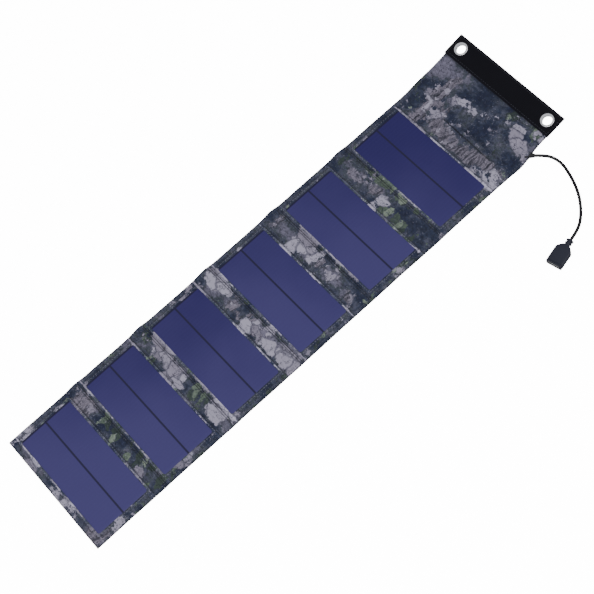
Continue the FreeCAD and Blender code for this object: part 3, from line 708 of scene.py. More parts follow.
CREASE_PLACE, CREASE_LINES = 248.1, 246.6  # along the cloth: the pocket's crease, and the grid's fine lines for it
WINDOW_STITCH = 2.0  # from a window's edge to its stitching
GROMMET_ROOT, GROMMET_RUN = 75.1, 29.8  # where the grommet starts inside, across and along the pocket


def ripple(x, y, reach_x, reach_y, seed):
    return noise.noise(Vector((x / reach_x + seed, y / reach_y - seed, seed * 0.37)))


def edge(y, side):
    """Half width of the strip at this place along the cloth: it swells at the folds and wanders a little."""
    run = y - POCKET_START
    swell = sum(FOLD_SWELL[side][k] * groove(y - fold, 3, 9.0) for k, fold in FOLD_Y.items())
    swell += POCKET_SWELL[side] * groove(run, 20, 16)
    waist = POCKET_WAIST[side] * smooth(12, 45, run) * (1 - smooth(62, 86, run))
    return HALF_WIDTH + swell + 0.35 * ripple(side * 9, y, 4, 40, 3.3) - waist


def side_of(x):
    return 1 if x > 0 else -1


def past_edge(x, y):
    """How far a place lies outside the strip's edge; inside, it is negative."""
    return abs(x) - edge(y, side_of(x))


def outline(x, y):
    """Moves a grid corner near the long sides out to the strip's edge."""
    if abs(x) <= SIDE_START:
        return x, y
    share = (edge(y, side_of(x)) - SIDE_START) / (HALF_WIDTH - SIDE_START)
    return side_of(x) * (SIDE_START + (abs(x) - SIDE_START) * share), y


def past_straight(x, y, k):
    """How far a place lies past the straight parts of panel k's window, across and along."""
    return abs(x) - STRAIGHT_X, abs(y - PANEL_Y[k]) - STRAIGHT_Y


def window_distance(x, y, k):
    """Distance from panel k's window, outwards."""
    dx, dy = past_straight(x, y, k)
    return math.hypot(max(dx, 0), max(dy, 0)) + min(max(dx, dy), 0) - WINDOW_CORNER


def nearest_window(x, y):
    return min(window_distance(x, y, k) for k in SECTIONS)


def seams(x, y):
    """How deep the sewn channels between the panels pull the cloth in, 0 to 1."""
    deep = 0.0
    for k in SECTIONS:
        above, below = y - (PANEL_Y[k] + WINDOW_Y), (PANEL_Y[k] - WINDOW_Y) - y
        deep = max(deep, 0.8 * groove(above, BOARD_SEAM, SEAM_WIDTH))
        if k > 1:
            deep = max(deep, *[groove(below, at, SEAM_WIDTH) for at in FOLD_SEAMS])
    return deep if abs(x) < edge(y, 1) - 1.5 else 0.0


def hem(side):
    """How much thicker the cloth is where it is turned in along the strip's sides."""
    return 0.28 * smooth(HEM_START, HEM_FULL, side)


def rim(x, y):
    """How far the cloth's outer edge rolls down."""
    return 0.75 * smooth(-1.3, 0.0, past_edge(x, y))


def cloth_top(x, y):
    """Height of the printed cloth over the flat strip."""
    d = nearest_window(x, y)
    if d < LAP_END:
        base = PANEL_TOP - 0.42 * (1 - smooth(0.0, 0.85, d)) - 0.10 * groove(d, WINDOW_STITCH, 0.3)
    else:
        base = GAP_HEIGHT + (PANEL_TOP - GAP_HEIGHT) * (1 - smooth(LAP_END, 4.7, d))
    free = smooth(HANDOVER, 9.0, d) * (1 - smooth(69, 75, abs(x)))
    slack = 0.55 + 0.75 * ripple(x, y, 34, 12, 1.7) + 0.35 * ripple(x, y, 9, 6, 5.1)
    end = 0.5 * (1 - smooth(0.0, 1.2, y - STRIP_END))
    return base + max(0.0, slack) * free + hem(abs(x)) - rim(x, y) - end - 0.32 * seams(x, y)


def cloth_bottom(x, y):
    d = nearest_window(x, y)
    under = cloth_top(x, y) - FABRIC
    if d >= LAP_END:
        return max(CLOTH_FLOOR, under)
    film = FILM_TOP + 0.02
    return max(film, under) if d > 0.8 else film


def lift(x, y, z):
    """From a place along the cloth and a height over it to the frame: flat, then up the pocket's slope."""
    if y <= RISE_START:
        return (x, y, z)
    if y >= RISE_END:
        run, c, s = y - POCKET_START, math.cos(TILT), math.sin(TILT)
        return (x, POCKET_Y + run * c - z * s, POCKET_Z + run * s + z * c)
    py, pz = RISE_START, 0.0
    step = (y - RISE_START) / RISE_STEPS
    for n in range(RISE_STEPS):
        slope = TILT * smooth(RISE_START, RISE_END, RISE_START + (n + 0.5) * step)
        py += math.cos(slope) * step
        pz += math.sin(slope) * step
    slope = TILT * smooth(RISE_START, RISE_END, y)
    return (x, py - z * math.sin(slope), pz + z * math.cos(slope))


def tunnel(x, run):
    """The round channel that the lead's grommet makes in the two cloths at the pocket's side."""
    return 2.75 * groove(run, LEAD_PLACE, 3.6) * smooth(60, 67, x)


def pocket_top(x, y):
    """Height of the pocket's printed cloth over its own floor."""
    run = y - POCKET_START
    side = abs(x)
    across = 1 - smooth(57.6, 68.5, side)
    along = smooth(7.0, 13.4, run) * (1 - smooth(50.6, 58.6, run))
    away = math.hypot(max(CASE_X[0] - x, 0, x - CASE_X[1]), max(CASE_Y[0] - run, 0, run - CASE_Y[1]))
    over_case = CASE_RISE * (1 - smooth(0.3, 26, away))
    loose = 1.5 + 1.3 * ripple(x, run, 30, 22, 2.2) + 0.5 * ripple(x, run, 9, 8, 7.7)
    bulge = max(over_case, loose + 0.55 * over_case) + 0.12 * ripple(x, run, 12, 10, 4.4)
    base = GAP_HEIGHT - 0.1
    flat = 0.18 * ripple(x, run, 14, 9, 6.0) * (1 - smooth(56, 60, run))
    height = base + flat * (1 - smooth(70, 76, side)) + bulge * across * along
    # the lead inside pushes up a ridge, from the case to the grommet and out to the edge
    inside = clamp((x - CASE_X[1]) / (GROMMET_ROOT - CASE_X[1]))
    turn = clamp((x - GROMMET_ROOT) / (HALF_WIDTH - GROMMET_ROOT))
    middle = LEAD_PLACE + (GROMMET_RUN - LEAD_PLACE) * (inside - turn)
    ridge = (RIDGE_HEIGHT - RIDGE_DROP * turn) * groove(run, middle, 4.2)
    height = max(height, base + ridge * smooth(54, 57, x))
    rolled = rim(x, y) * (1 - min(1, tunnel(x, run) / 2))
    return height + (hem(side) - rolled) * (1 - smooth(57, 60, run))


def crease(x, y):
    """The fold line where the pocket's contents end: the cloth sinks along it, and the cloth's brightness drops there
    as painted shade.
    """
    ends = smooth(-30, -20, x) * (1 - smooth(46, 54, x))
    return groove(y, CREASE_PLACE - 0.02 * x, 0.8) * ends


def rise_top(x, y):
    """Height over the cloth from the last panel into the pocket."""
    share = smooth(240, POCKET_SEAM, y)
    return cloth_top(x, y) * (1 - share) + pocket_top(x, y) * share - 0.55 * crease(x, y)


# ---- the printed pattern's layout
# place across and along the strip, half sizes, turn, then the light leaf, green leaf, bark and pale wash it brings
MOTIFS = [
    # pocket
    (-66, 290, 24, 15, 18, -0.6, -0.6, -0.6, 0.85), (-44, 290, 8, 16, -12, 0, -0.5, 0.60, 0.2),
    (-49, 262, 9, 18, -4, 0, -0.5, 0.60, 0.1), (-50, 233, 9, 16, -4, 0.1, -0.4, 0.55, 0.2),
    (-26, 274, 9, 7, 20, 0.40, -0.3, 0.1, 0.1), (-7, 277, 13, 6, -15, 0.35, -0.3, 0.1, 0.1),
    (-24, 241, 14, 10, 0, 0.20, -0.2, 0.45, 0.5), (54, 284, 9, 12, 15, 0.60, 0, 0.1, 0.1),
    (44, 263, 8, 7, 30, 0.45, 0, 0, 0.1), (33, 272, 7, 6, 30, 0.40, 0.1, 0, 0.1),
    (38, 298, 13, 9, 0, 0.05, 0.45, -0.4, 0), (66, 300, 12, 10, 0, 0, 0.50, -0.4, 0),
    (-2, 293, 28, 12, 8, -0.5, -0.3, -0.6, -0.5), (22, 264, 20, 11, 0, -0.2, -0.2, -0.4, -0.4),
    (64, 261, 12, 9, 0, -0.35, -0.2, -0.3, -0.3), (8, 233, 34, 10, 0, 0.10, 0.1, 0.45, 0.4),
    (50, 240, 24, 9, 0, 0.05, -0.1, 0.50, 0.2), (66, 272, 8, 10, 0, 0.1, -0.1, 0.30, 0),
    (70, 222, 8, 18, 0, 0.10, 0, 0.35, 0.3), (-72, 262, 8, 18, 0, -0.4, 0.25, -0.3, -0.3),
    (-62, 246, 10, 9, 0, -0.4, 0.1, -0.2, -0.5), (-30, 256, 10, 8, 0, 0.1, 0, 0.35, 0),
    # between the fifth and the sixth panel
    (-74, 140, 10, 16, 0, -0.5, 0.1, -0.3, -0.2), (-44, 136, 13, 8, 0, 0.18, -0.1, 0.35, 0.2),
    (-14, 138, 16, 8, 0, 0.22, 0, 0.35, 0.2), (4, 149, 44, 5, 0, -0.1, 0.45, -0.1, 0),
    (12, 130, 9, 9, 60, 0.15, 0.50, -0.2, 0.1), (38, 127, 11, 9, 30, 0.25, 0.50, -0.2, 0.1),
    (24, 137, 9, 8, 0, -0.5, 0.15, -0.4, -0.2), (56, 139, 20, 11, 0, -0.5, -0.1, -0.4, -0.4),
    (74, 136, 6, 10, 0, 0.1, 0.3, 0, 0),
    # between the fourth and the fifth
    (-60, 38, 12, 12, 0, 0.32, 0, 0.30, 0.1), (-48, 38, 6, 10, 15, -0.6, -0.3, -0.5, -0.1),
    (-22, 40, 22, 11, 0, 0.75, -0.3, -0.3, 0.9), (8, 39, 9, 9, 30, -0.2, -0.2, 0.45, 0),
    (26, 36, 14, 9, 0, 0.70, -0.2, -0.2, 0.8), (42, 31, 9, 10, 0, -0.6, -0.3, -0.5, 0),
    (56, 34, 10, 10, 20, 0.20, -0.1, 0.45, 0.2), (73, 42, 8, 14, 0, -0.5, 0.2, -0.3, -0.2),
    # between the third and the fourth
    (-58, -54, 18, 11, 0, 0.95, -0.3, -0.4, 0.9), (-28, -57, 13, 10, 0, 0.40, -0.1, 0.30, 0.4),
    (-16, -64, 8, 6, 0, -0.2, 0.1, 0.3, 0), (6, -59, 16, 10, 0, 0.35, -0.3, 0.45, 0.4),
    (32, -56, 14, 10, 0, 0.30, -0.1, 0.35, 0.4), (62, -58, 15, 11, 0, 0.90, -0.3, -0.2, 0.9),
    # between the second and the third
    (-64, -152, 12, 11, 0, 0, 0.1, 0.1, 0), (-38, -150, 15, 10, 0, 0.60, 0, 0.05, 0.6),
    (-9, -153, 15, 10, 0, 0.65, -0.1, 0.05, 0.6), (24, -152, 14, 11, 0, -0.2, 0.65, -0.2, 0),
    (54, -150, 13, 11, 0, 0.80, -0.1, -0.2, 0.8), (72, -150, 8, 12, 0, 0.5, -0.1, 0.1, 0.4),
    # between the first and the second
    (-56, -245, 14, 12, 0, 0.25, -0.3, 0.60, 0.5), (-42, -244, 8, 10, 0, 0.55, -0.2, 0.20, 0.3),
    (-12, -243, 24, 11, 0, -0.5, 0.2, -0.5, -0.4), (24, -240, 14, 11, 0, -0.1, 0.45, -0.2, 0),
    (48, -248, 11, 9, 0, 0.55, 0.1, 0, 0.3), (62, -241, 12, 10, 0, 0, 0.45, -0.3, 0),
    # ends and sides
    (-36, -326, 18, 6, 0, 0.38, -0.2, 0.1, 0.2), (6, -327, 14, 6, 0, 0.38, -0.1, 0.1, 0.2),
    (66, -326, 12, 8, 0, -0.1, -0.3, 0.6, 0.5), (74, -305, 6, 16, 0, 0.2, -0.1, 0.4, 0.3),
    (74, -210, 6, 14, 0, 0.35, 0.1, 0, 0.1), (74, 100, 6, 20, 0, 0.1, 0.4, -0.1, 0),
]
GROUND = (0.37, 0.31, 0.30, 0.0)


def layout(x, y):
    """Shares of light leaf, green leaf, bark and wash at a place on the cloth."""
    total = list(GROUND)
    for mx, my, rx, ry, turn, *brings in MOTIFS:
        if abs(y - my) > 2.2 * max(rx, ry):
            continue
        c, s = math.cos(math.radians(turn)), math.sin(math.radians(turn))
        u, v = ((x - mx) * c + (y - my) * s) / rx, ((y - my) * c - (x - mx) * s) / ry
        weight = math.exp(-((u * u + v * v) ** 1.5))
        total = [t + weight * b for t, b in zip(total, brings)]
    return total


def hem_distance(y):
    """Distance from the nearest window's long sides, where the pale turned hems run."""
    return min(abs(abs(y - PANEL_Y[k]) - WINDOW_Y - 1.1) + 1.1 for k in SECTIONS)


def pattern(x, y):
    light, green, bark, _ = layout(x, y)
    pale = groove(hem_distance(y), 1.1, 0.8) if y < POCKET_SEAM else 0.0
    return light + 0.30 * pale, green, bark


def wash(x, y):
    return layout(x, y)[3]


def tone(x, y):
    """Brightness of the cloth: painted shade in the sewn channels, at each window's rim, along the outer edges and the
    strip's end, in the pocket's crease and just before the band; pale on turned hems.
    """
    value = 1.0 - 0.72 * seams(x, y)
    value *= 1 + 0.4 * groove(hem_distance(y), 1.2, 0.9) - 0.15 * (1 - smooth(-0.2, 0.4, nearest_window(x, y)))
    value *= 1 - 0.55 * smooth(-1.6, -0.3, past_edge(x, y))
    value *= 1 - 0.5 * (1 - smooth(0.3, 1.6, y - STRIP_END))
    value *= 1 - 0.7 * crease(x, y)
    value *= 1 - 0.35 * smooth(BAND_FRONT - 3.5, BAND_FRONT, y - POCKET_START)
    return value


# ---- lead and socket
LEAD_TIP = (81.83, 281.75)
LEAD_ROUTE = [
    (0.0, 0.0, 6.9), (7.0, 8.6, 4.5), (15.6, 13.8, 2.6), (27.2, 14.6, 1.9), (40.4, 11.0, 1.9), (53.0, 6.2, 1.9),
    (65.0, -0.2, 1.9), (75.2, -8.0, 1.9), (83.6, -16.4, 2.0), (90.0, -25.2, 3.1), (93.8, -34.4, 4.3),
    (95.8, -43.1, 4.3),
]
LEAD_RADIUS = 1.8
LEAD_LENGTH = 0.128
SOCKET_START = Vector((177.63, 238.65, 4.3))
SOCKET_AXIS = Vector((0.224, -0.9746, 0)).normalized()
SOCKET_SIDE = Vector((-SOCKET_AXIS.y, SOCKET_AXIS.x, 0))
UP = Vector((0, 0, 1))


def make_lead():
    data = bpy.data.curves.new("usb_cable", "CURVE")
    data.dimensions = "3D"
    line = data.splines.new("NURBS")
    line.points.add(len(LEAD_ROUTE) - 1)
    for point, (x, y, z) in zip(line.points, LEAD_ROUTE):
        point.co = ((LEAD_TIP[0] + x) * MM, (LEAD_TIP[1] + y) * MM, z * MM, 1)
    line.order_u = 3
    line.use_endpoint_u = True
    line.resolution_u = 24
    data.bevel_depth = LEAD_RADIUS * MM
    data.bevel_resolution = 8
    data.use_fill_caps = True
    data.materials.append(SHEATH)
    made = bpy.data.objects.new("usb_cable", data)
    bpy.context.scene.collection.objects.link(made)
    return made


def socket_collar():
    """The strain relief: two round flanges and a waist."""
    profile = [
        (0.0, 1.85), (0.05, 2.25), (0.5, 2.7), (0.9, 3.5), (1.1, 4.0), (1.4, 4.18), (2.3, 4.18), (2.6, 3.95),
        (2.8, 3.3), (3.1, 3.05), (3.9, 3.05), (4.2, 3.3), (4.4, 3.75), (4.7, 3.95), (5.5, 3.95), (5.8, 3.75),
        (6.0, 3.3), (6.4, 3.1), (7.4, 3.15), (8.3, 3.4),
    ]
    return revolve("socket_collar", profile, PLASTIC, (SOCKET_START, SOCKET_AXIS, SOCKET_SIDE, UP), 40)


def rounded_loop(half_width, half_height, corner, steps=13):
    """Points round a rounded rectangle, evenly by angle of each corner."""
    loop = []
    for cx, cy, start in ((1, 1, 0), (-1, 1, 90), (-1, -1, 180), (1, -1, 270)):
        for n in range(steps + 1):
            turn = math.radians(start + 90 * n / steps)
            u, v = cx * (half_width - corner), cy * (half_height - corner)
            loop.append((u + corner * math.cos(turn), v + corner * math.sin(turn)))
    return loop


def socket_shell():
    """The moulded socket: shoulders, a flat body, a grooved rim and the opening for the metal shell."""
    body, waist = (9.2, 4.3, 1.8), (8.95, 4.05, 1.6)
    # along, half width, half height, corner
    stations = [
        (7.9, 3.3, 3.0, 1.6), (8.0, 3.9, 3.3, 1.7), (8.4, 4.4, 3.5, 1.8), (9.6, 5.6, 3.75, 1.8),
        (11.2, 7.0, 4.0, 1.8), (12.8, 8.35, 4.18, 1.8), (13.8, 8.95, 4.25, 1.8), (14.8, 9.17, 4.28, 1.8),
        *[(along, *body) for along in (18.0, 24.0, 30.0, 30.8)],
        *[(along, *waist) for along in (30.95, 31.35)], *[(along, *body) for along in (31.5, 31.9)],
        *[(along, *waist) for along in (32.05, 32.4)],
        (32.55, 9.15, 4.25, 1.75), (33.2, 9.1, 4.2, 1.7), (33.5, 8.75, 3.9, 1.5),
        (33.5, 6.9, 3.2, 0.8), (33.2, 6.6, 2.9, 0.6), (30.0, 6.6, 2.9, 0.6), (16.2, 6.6, 2.9, 0.6),
    ]
    points = []
    for along, half_width, half_height, corner in stations:
        centre = SOCKET_START + SOCKET_AXIS * along
        loop = rounded_loop(half_width, half_height, corner)
        points += [tuple(centre + SOCKET_SIDE * u + UP * v) for u, v in loop]
    return finish_mesh("socket_housing", points, tube_faces(len(stations), len(loop)), PLASTIC, sharp=50)


cable = make_lead()
collar = socket_collar()
housing = socket_shell()
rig.replaces(cable, "usb_lead")
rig.replaces(collar, "socket_neck")
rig.replaces(housing, "socket_body")
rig.slot(cable, "lead_sheath")
for piece in (collar, housing):
    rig.slot(piece, "black_plastic")
for piece in (cable, collar, housing):
    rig.ride(piece, "pocket")
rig.cord(
    cable, exit=(LEAD_TIP[0] * MM, LEAD_TIP[1] * MM, LEAD_ROUTE[0][2] * MM), length=LEAD_LENGTH,
    diameter=2 * LEAD_RADIUS * MM, far_end="connector", stiffness="medium", lay="loose",
    with_pieces=[collar, housing, nodes["usb_shell"], nodes["usb_tongue"], nodes["usb_contacts"]],
)

# ---- the strip's sheets
# grid lines near a window's edge, as distances from it, and the further ones across and along the strip
NEAR_WINDOW = (-2.2, -1.5, -0.8, -0.3, 0, 0.3, 0.85, 1.4, 1.8, 2.0, 2.3, 2.7)
FAR_ACROSS = (3.2, 3.7, 4.2, 4.7, 5.4, 6.4, 7.4, 8.4, 9.0, 9.5, 9.9)
FAR_ALONG = (3.1, 3.5, 3.9, 4.3)
FRONT_XS = lines(-HALF_WIDTH, HALF_WIDTH, 2.6, mirrored([WINDOW_X + d for d in NEAR_WINDOW + FAR_ACROSS]))
BACK_XS = lines(-HALF_WIDTH, HALF_WIDTH, 4, mirrored((77.4, 78.2)))  # with fine ones for the rolled edges
BACKING_TOP = FABRIC + 0.03
CORNER_FADE = 2.2  # the grid bends round a window's corner over this distance
RIBBON_PLACE, RIBBON_HALF = 44.0, 2.5
RIBBON_TOP, RIBBON_THICK = 0.86, 0.15


def back_base(x, y):
    return 0.12 * smooth(-1.0, 0.0, past_edge(x, y))


def back_tone_and_painted_shade(x, y):
    # painted shade along the outer edges, then darker lines just past each panel's stiff section
    value = 1 - 0.4 * smooth(-1.4, -0.2, past_edge(x, y))
    for k in SECTIONS:
        value *= 1 - 0.35 * groove(abs(y - PANEL_Y[k]), WINDOW_Y + 4.9, 0.8)
    return value


def printed_sheet(name, ys, top, bottom, outline=outline, **more):
    made = closed_grid(
        name, FRONT_XS, ys, top, bottom, CAMO, outline=outline, pattern=pattern, values={"tone": tone, "wash": wash},
        **more)
    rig.slot(made, "camo_fabric")
    return made


def backing_sheet(name, xs, ys, top=lambda x, y: BACKING_TOP, bottom=back_base, where=None):
    made = closed_grid(name, xs, ys, top, bottom, BACKING, outline=outline, where=where, values={"tone": back_tone_and_painted_shade})
    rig.slot(made, "backing_fabric")
    return made


def ribbon(name, side, ys, where=None):
    """A flat copper ribbon along the strip, between the two cloths."""
    at = side * RIBBON_PLACE
    made = closed_grid(
        name, [at - RIBBON_HALF, at, at + RIBBON_HALF], ys, lambda x, y: RIBBON_TOP,
        lambda x, y: RIBBON_TOP - RIBBON_THICK, COPPER, where=where)
    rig.slot(made, "feed_ribbon")
    return made


def flat_size(low, high):
    """Width and length in metres of the strip between two places along it."""
    return 2 * HALF_WIDTH * MM, (high - low) * MM


def under(top):
    """The underside of cloth whose top has this height."""
    return lambda x, y: max(CLOTH_FLOOR, top(x, y) - FABRIC)


# ---- sections
def round_corner(k):
    """Pulls the window's corner points on to its corner arcs, and the long sides out to the edge."""
    def shift(x, y):
        dx, dy = past_straight(x, y, k)
        reach = max(dx, dy)
        if dx > 0 and dy > 0 and reach < WINDOW_CORNER + CORNER_FADE:
            keep = clamp((reach - WINDOW_CORNER) / CORNER_FADE)
            scale = (reach / math.hypot(dx, dy)) * (1 - keep) + keep
            x = math.copysign(STRAIGHT_X + dx * scale, x)
            y = PANEL_Y[k] + math.copysign(STRAIGHT_Y + dy * scale, y - PANEL_Y[k])
        return outline(x, y)
    return shift


def section_ends(k):
    low = STRIP_END if k == 1 else PANEL_Y[k] - WINDOW_Y - HANDOVER
    return low, PANEL_Y[k] + WINDOW_Y + HANDOVER


def make_section(k):
    """A panel's rigid part of the strip: printed cloth round its window, backing cloth, and its face."""
    low, high = section_ends(k)
    centre = PANEL_Y[k]
    fine = [centre + v for v in mirrored([WINDOW_Y + d for d in NEAR_WINDOW + FAR_ALONG])]
    if k == 1:
        fine += [low + d for d in (0.3, 0.7, 1.2, 2.0)]
    front = printed_sheet(
        f"front_fabric_{k}", lines(low, high, 2.6, fine), cloth_top, cloth_bottom, round_corner(k),
        hole=(-WINDOW_X, WINDOW_X, centre - WINDOW_Y, centre + WINDOW_Y))
    back = backing_sheet(f"back_fabric_{k}", BACK_XS, lines(low, high, 5))
    face = panel_face(k)
    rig.replaces(front, f"front_cover_{k}")
    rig.replaces(back, f"back_cover_{k}")
    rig.replaces(face, f"top_film_{k}", f"cell_strips_{k}")
    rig.slot(face, "solar_cell")
    for piece in (front, back, face):
        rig.ride(piece, f"section_{k}")
    wide, long = flat_size(low, high)
    window = 4 * (WINDOW_X - WINDOW_OVERLAP) * (WINDOW_Y - WINDOW_OVERLAP) * MM * MM
    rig.sheet(
        front, flat=(wide, long), held="stretched", rests_on=[f"laminate_base_{k}", back.name],
        area=wide * long - window)
    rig.sheet(back, flat=(wide, long), held="laid", rests_on=["floor"])


CELL_BORDER = 1.6  # dark margin inside the window
CELL_JOINT = 0.55  # half the dark joint between the rows
CELL_BEVEL = 0.9  # how gently the film rises out of it
# partly painted reflection: the panels start paler towards panel 1; partly the cells' own colour
CELL_TINT_AND_REFLECTION = {1: 0.75, 2: 0.5, 3: 0.3, 4: 0.45, 5: 0.45, 6: 0.0}  # how pale each panel starts at its plain side
FILM_CORNER = 2.0


def panel_face(k):
    """The laminate's satin face: two rows of cells with the dark joint sunk between them."""
    low, high = panel_box(k)
    centre = PANEL_Y[k]
    straight_x, straight_y = high.x - FILM_CORNER, (high.y - low.y) / 2 - FILM_CORNER

    def is_cell(x, y):
        joint = smooth(CELL_JOINT, CELL_JOINT + CELL_BEVEL, abs(y - centre))
        left = smooth(-WINDOW_X + CELL_BORDER, -WINDOW_X + CELL_BORDER + 0.4, x)
        return joint * left * (1 - smooth(WINDOW_X + 0.2, WINDOW_X + 0.6, x))

    # partly painted reflection: paler towards the panel's +x side and its -y end; partly the cells' own colour
    def tint(x, y):
        return CELL_TINT_AND_REFLECTION[k] + 0.5 * (x + WINDOW_X) / (2 * WINDOW_X) - 0.12 * (y - centre) / WINDOW_Y

    def height(x, y):
        return FILM_TOP - 0.03 + 0.035 * ripple(x, y, 45, 30, k * 1.9) - 0.09 * (1 - is_cell(x, y))

    def shape(x, y):
        dx, dy = abs(x) - straight_x, abs(y - centre) - straight_y
        if dx <= 0 or dy <= 0:
            return x, y
        scale = max(dx, dy) / math.hypot(dx, dy)
        return math.copysign(straight_x + dx * scale, x), centre + math.copysign(straight_y + dy * scale, y - centre)

    bevel = [CELL_JOINT + d for d in (0, 0.3, 0.6, CELL_BEVEL)]
    fine_y = [centre + v for v in mirrored([0, *bevel, *[WINDOW_Y + d for d in (0.5, 1.2, 1.8)]])]
    fine_x = [CELL_BORDER - WINDOW_X + d for d in (-0.6, 0, 0.2, 0.4, 1.0)]
    fine_x += mirrored([WINDOW_X + d for d in (0.2, 0.6, 1.2, 1.8)])
    return closed_grid(
        f"panel_face_{k}", lines(low.x, high.x, 3.5, fine_x), lines(low.y, high.y, 3.0, fine_y), height,
        lambda x, y: FILM_BASE + 0.01, CELL, outline=shape, values={"cell": is_cell, "tint": tint})


for k in SECTIONS:
    make_section(k)


# ---- folds and ribbons
def fold_span(k):
    low = section_ends(k)[1]
    if k < LAST:
        high = section_ends(k + 1)[0]
        top, where, end, second = cloth_top, None, high, f"section_{k + 1}"
    else:
        high = POCKET_SEAM
        top, where, end, second = rise_top, lift, RISE_BLEND_END, "pocket"
    return low, high, top, where, (f"section_{k}", second, (0, low * MM, 0), (0, end * MM, 0))


def make_fold(k):
    """The cloth between two panels, front and back, with the ribbons between them."""
    low, high, top, where, hinge = fold_span(k)
    fine = [low + d for d in (0.4, 0.9)]
    if k < LAST:
        fine += [high - d for d in (0.3, 0.6, 0.9, 1.3, 1.7, 2.0, 2.2, 2.5, 2.9)]
    else:
        fine += [CREASE_LINES + 0.4 * n for n in range(8)]
    bottom = cloth_bottom if k < LAST else under(rise_top)
    front = printed_sheet(f"fold_fabric_{k}", lines(low, high, 1.3, fine), top, bottom, where=where)
    back = backing_sheet(f"fold_backing_{k}", BACK_XS, lines(low, high, 1.6), where=where)
    for piece in (front, back):
        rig.blend(piece, *hinge)
    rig.sheet(front, flat=flat_size(low, high), held="laid", rests_on=[back.name])
    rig.sheet(back, flat=flat_size(low, high), held="laid", rests_on=["floor"])
    for side, mark in SIDES:
        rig.blend(ribbon(f"fold_ribbon_{k}_{mark}", side, lines(low, high, 1.6), where), *hinge)


def rigid_ribbons(prefix, body, node, ys, where=None):
    """The two ribbons' stretch on one body. The left one stands for the CAD's pair."""
    for side, mark in SIDES:
        made = ribbon(f"{prefix}_{mark}", side, ys, where)
        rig.ride(made, body)
        if side < 0:
            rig.replaces(made, node)


for k in SECTIONS:
    low, high = section_ends(k)
    ys = lines(PANEL_Y[1] if k == 1 else low, high, 8)
    rigid_ribbons(f"panel_ribbon_{k}", f"section_{k}", f"feed_ribbons_{k}", ys)
    make_fold(k)
rigid_ribbons("pocket_ribbon", "pocket", "feed_ribbons_pocket", lines(POCKET_SEAM, POCKET_START + 12.5, 2), lift)


# ---- pocket and band
def make_pocket():
    low, high = POCKET_SEAM, POCKET_START + POCKET_CLOTH_END
    ys = lines(low, high, 1.9, [POCKET_START + (LEAD_PLACE + v) for v in range(-6, 7, 2)])
    front = printed_sheet("pocket_fabric", ys, pocket_top, under(pocket_top), where=lift)
    back = backing_sheet(
        "pocket_backing", lines(-HALF_WIDTH, HALF_WIDTH, 3), ys, lambda x, y: BACKING_TOP - tunnel(x, y - POCKET_START),
        lambda x, y: -tunnel(x, y - POCKET_START), lift)
    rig.replaces(front, "pocket_front")
    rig.replaces(back, "pocket_back")
    for piece in (front, back):
        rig.ride(piece, "pocket")
    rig.sheet(front, flat=flat_size(low, high), held="stretched", rests_on=["regulator_case_lid"])
    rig.sheet(back, flat=flat_size(low, high), held="stretched", rests_on=["end_band_cloth"])


BAND_FLAT = 55.0  # the webbing's width before it is folded
BAND_TOP, BAND_BASE = 2.05, -0.8
BAND_MIDDLE = 0.62
BAND_INNER_TOP, BAND_INNER_BASE = 1.24, -0.05  # the pocket's cloths lie between these
EYELET_X, EYELET_RUN, EYELET_HOLE = 66.0, 74.0, 6.2


def band_painted_highlight(x, y):
    # painted highlight: lighter lines along the band's two folded edges
    value = 1.0
    for at in (BAND_FRONT + 0.5, BAND_BACK - 0.6):
        value *= 1 + 0.5 * groove(y - POCKET_START, at, 0.6)
    return value


def make_band():
    """Webbing wrapped round the pocket's end, with round holes for the eyelets."""
    # place along the pocket and height: the outer top, the far edge, the outer base, then back inside
    section = [
        (60.1, BAND_INNER_TOP), (60.0, 1.6), (60.15, 1.95), (60.5, BAND_TOP), (62.3, BAND_TOP),
        (62.6, BAND_TOP - 0.12), *[(run, BAND_TOP) for run in (62.9, 66.0, 70.0, 74.0, 78.0, 82.0, 84.6)],
        (84.9, BAND_TOP - 0.12), (85.2, BAND_TOP), (86.5, BAND_TOP - 0.1), (87.1, 1.6), (BAND_BACK, 0.6),
        (87.1, -0.4), (86.5, BAND_BASE + 0.1), *[(run, BAND_BASE) for run in (82.0, 74.0, 66.0, 60.5)],
        (60.1, -0.7), (60.0, -0.4), *[(run, BAND_INNER_BASE) for run in (60.1, 66.0, 74.0, 82.0, 86.2)],
        (86.55, 0.3), (86.55, 0.9), *[(run, BAND_INNER_TOP) for run in (86.2, 82.0, 74.0, 66.0)],
    ]
    columns = lines(-HALF_WIDTH, HALF_WIDTH, 2.4, mirrored([HALF_WIDTH - d for d in (0.3, 0.8, 2.0, 2.3, 2.6)]))
    points, place = [], []
    for x in columns:
        near_edge = smooth(HALF_WIDTH - 0.9, HALF_WIDTH, abs(x))
        for run, z in section:
            z = BAND_MIDDLE + (z - BAND_MIDDLE) * (1 - 0.18 * near_edge)
            y = POCKET_START + run
            wave = 0.12 * ripple(x, run, 22, 14, 8.8) if z > 1.9 else 0.0
            points.append(lift(x, y, z + wave))
            place.append((x, y, z))
    faces = [face[::-1] for face in tube_faces(len(columns), len(section))]
    band_painted_highlights = [band_painted_highlight(p[0], p[1]) for p in place]
    band = finish_mesh("end_band_cloth", points, faces, WEBBING, place, values={"tone": band_painted_highlights}, sharp=50)
    for side, _ in SIDES:
        cut_hole(band, side * EYELET_X)
    return band


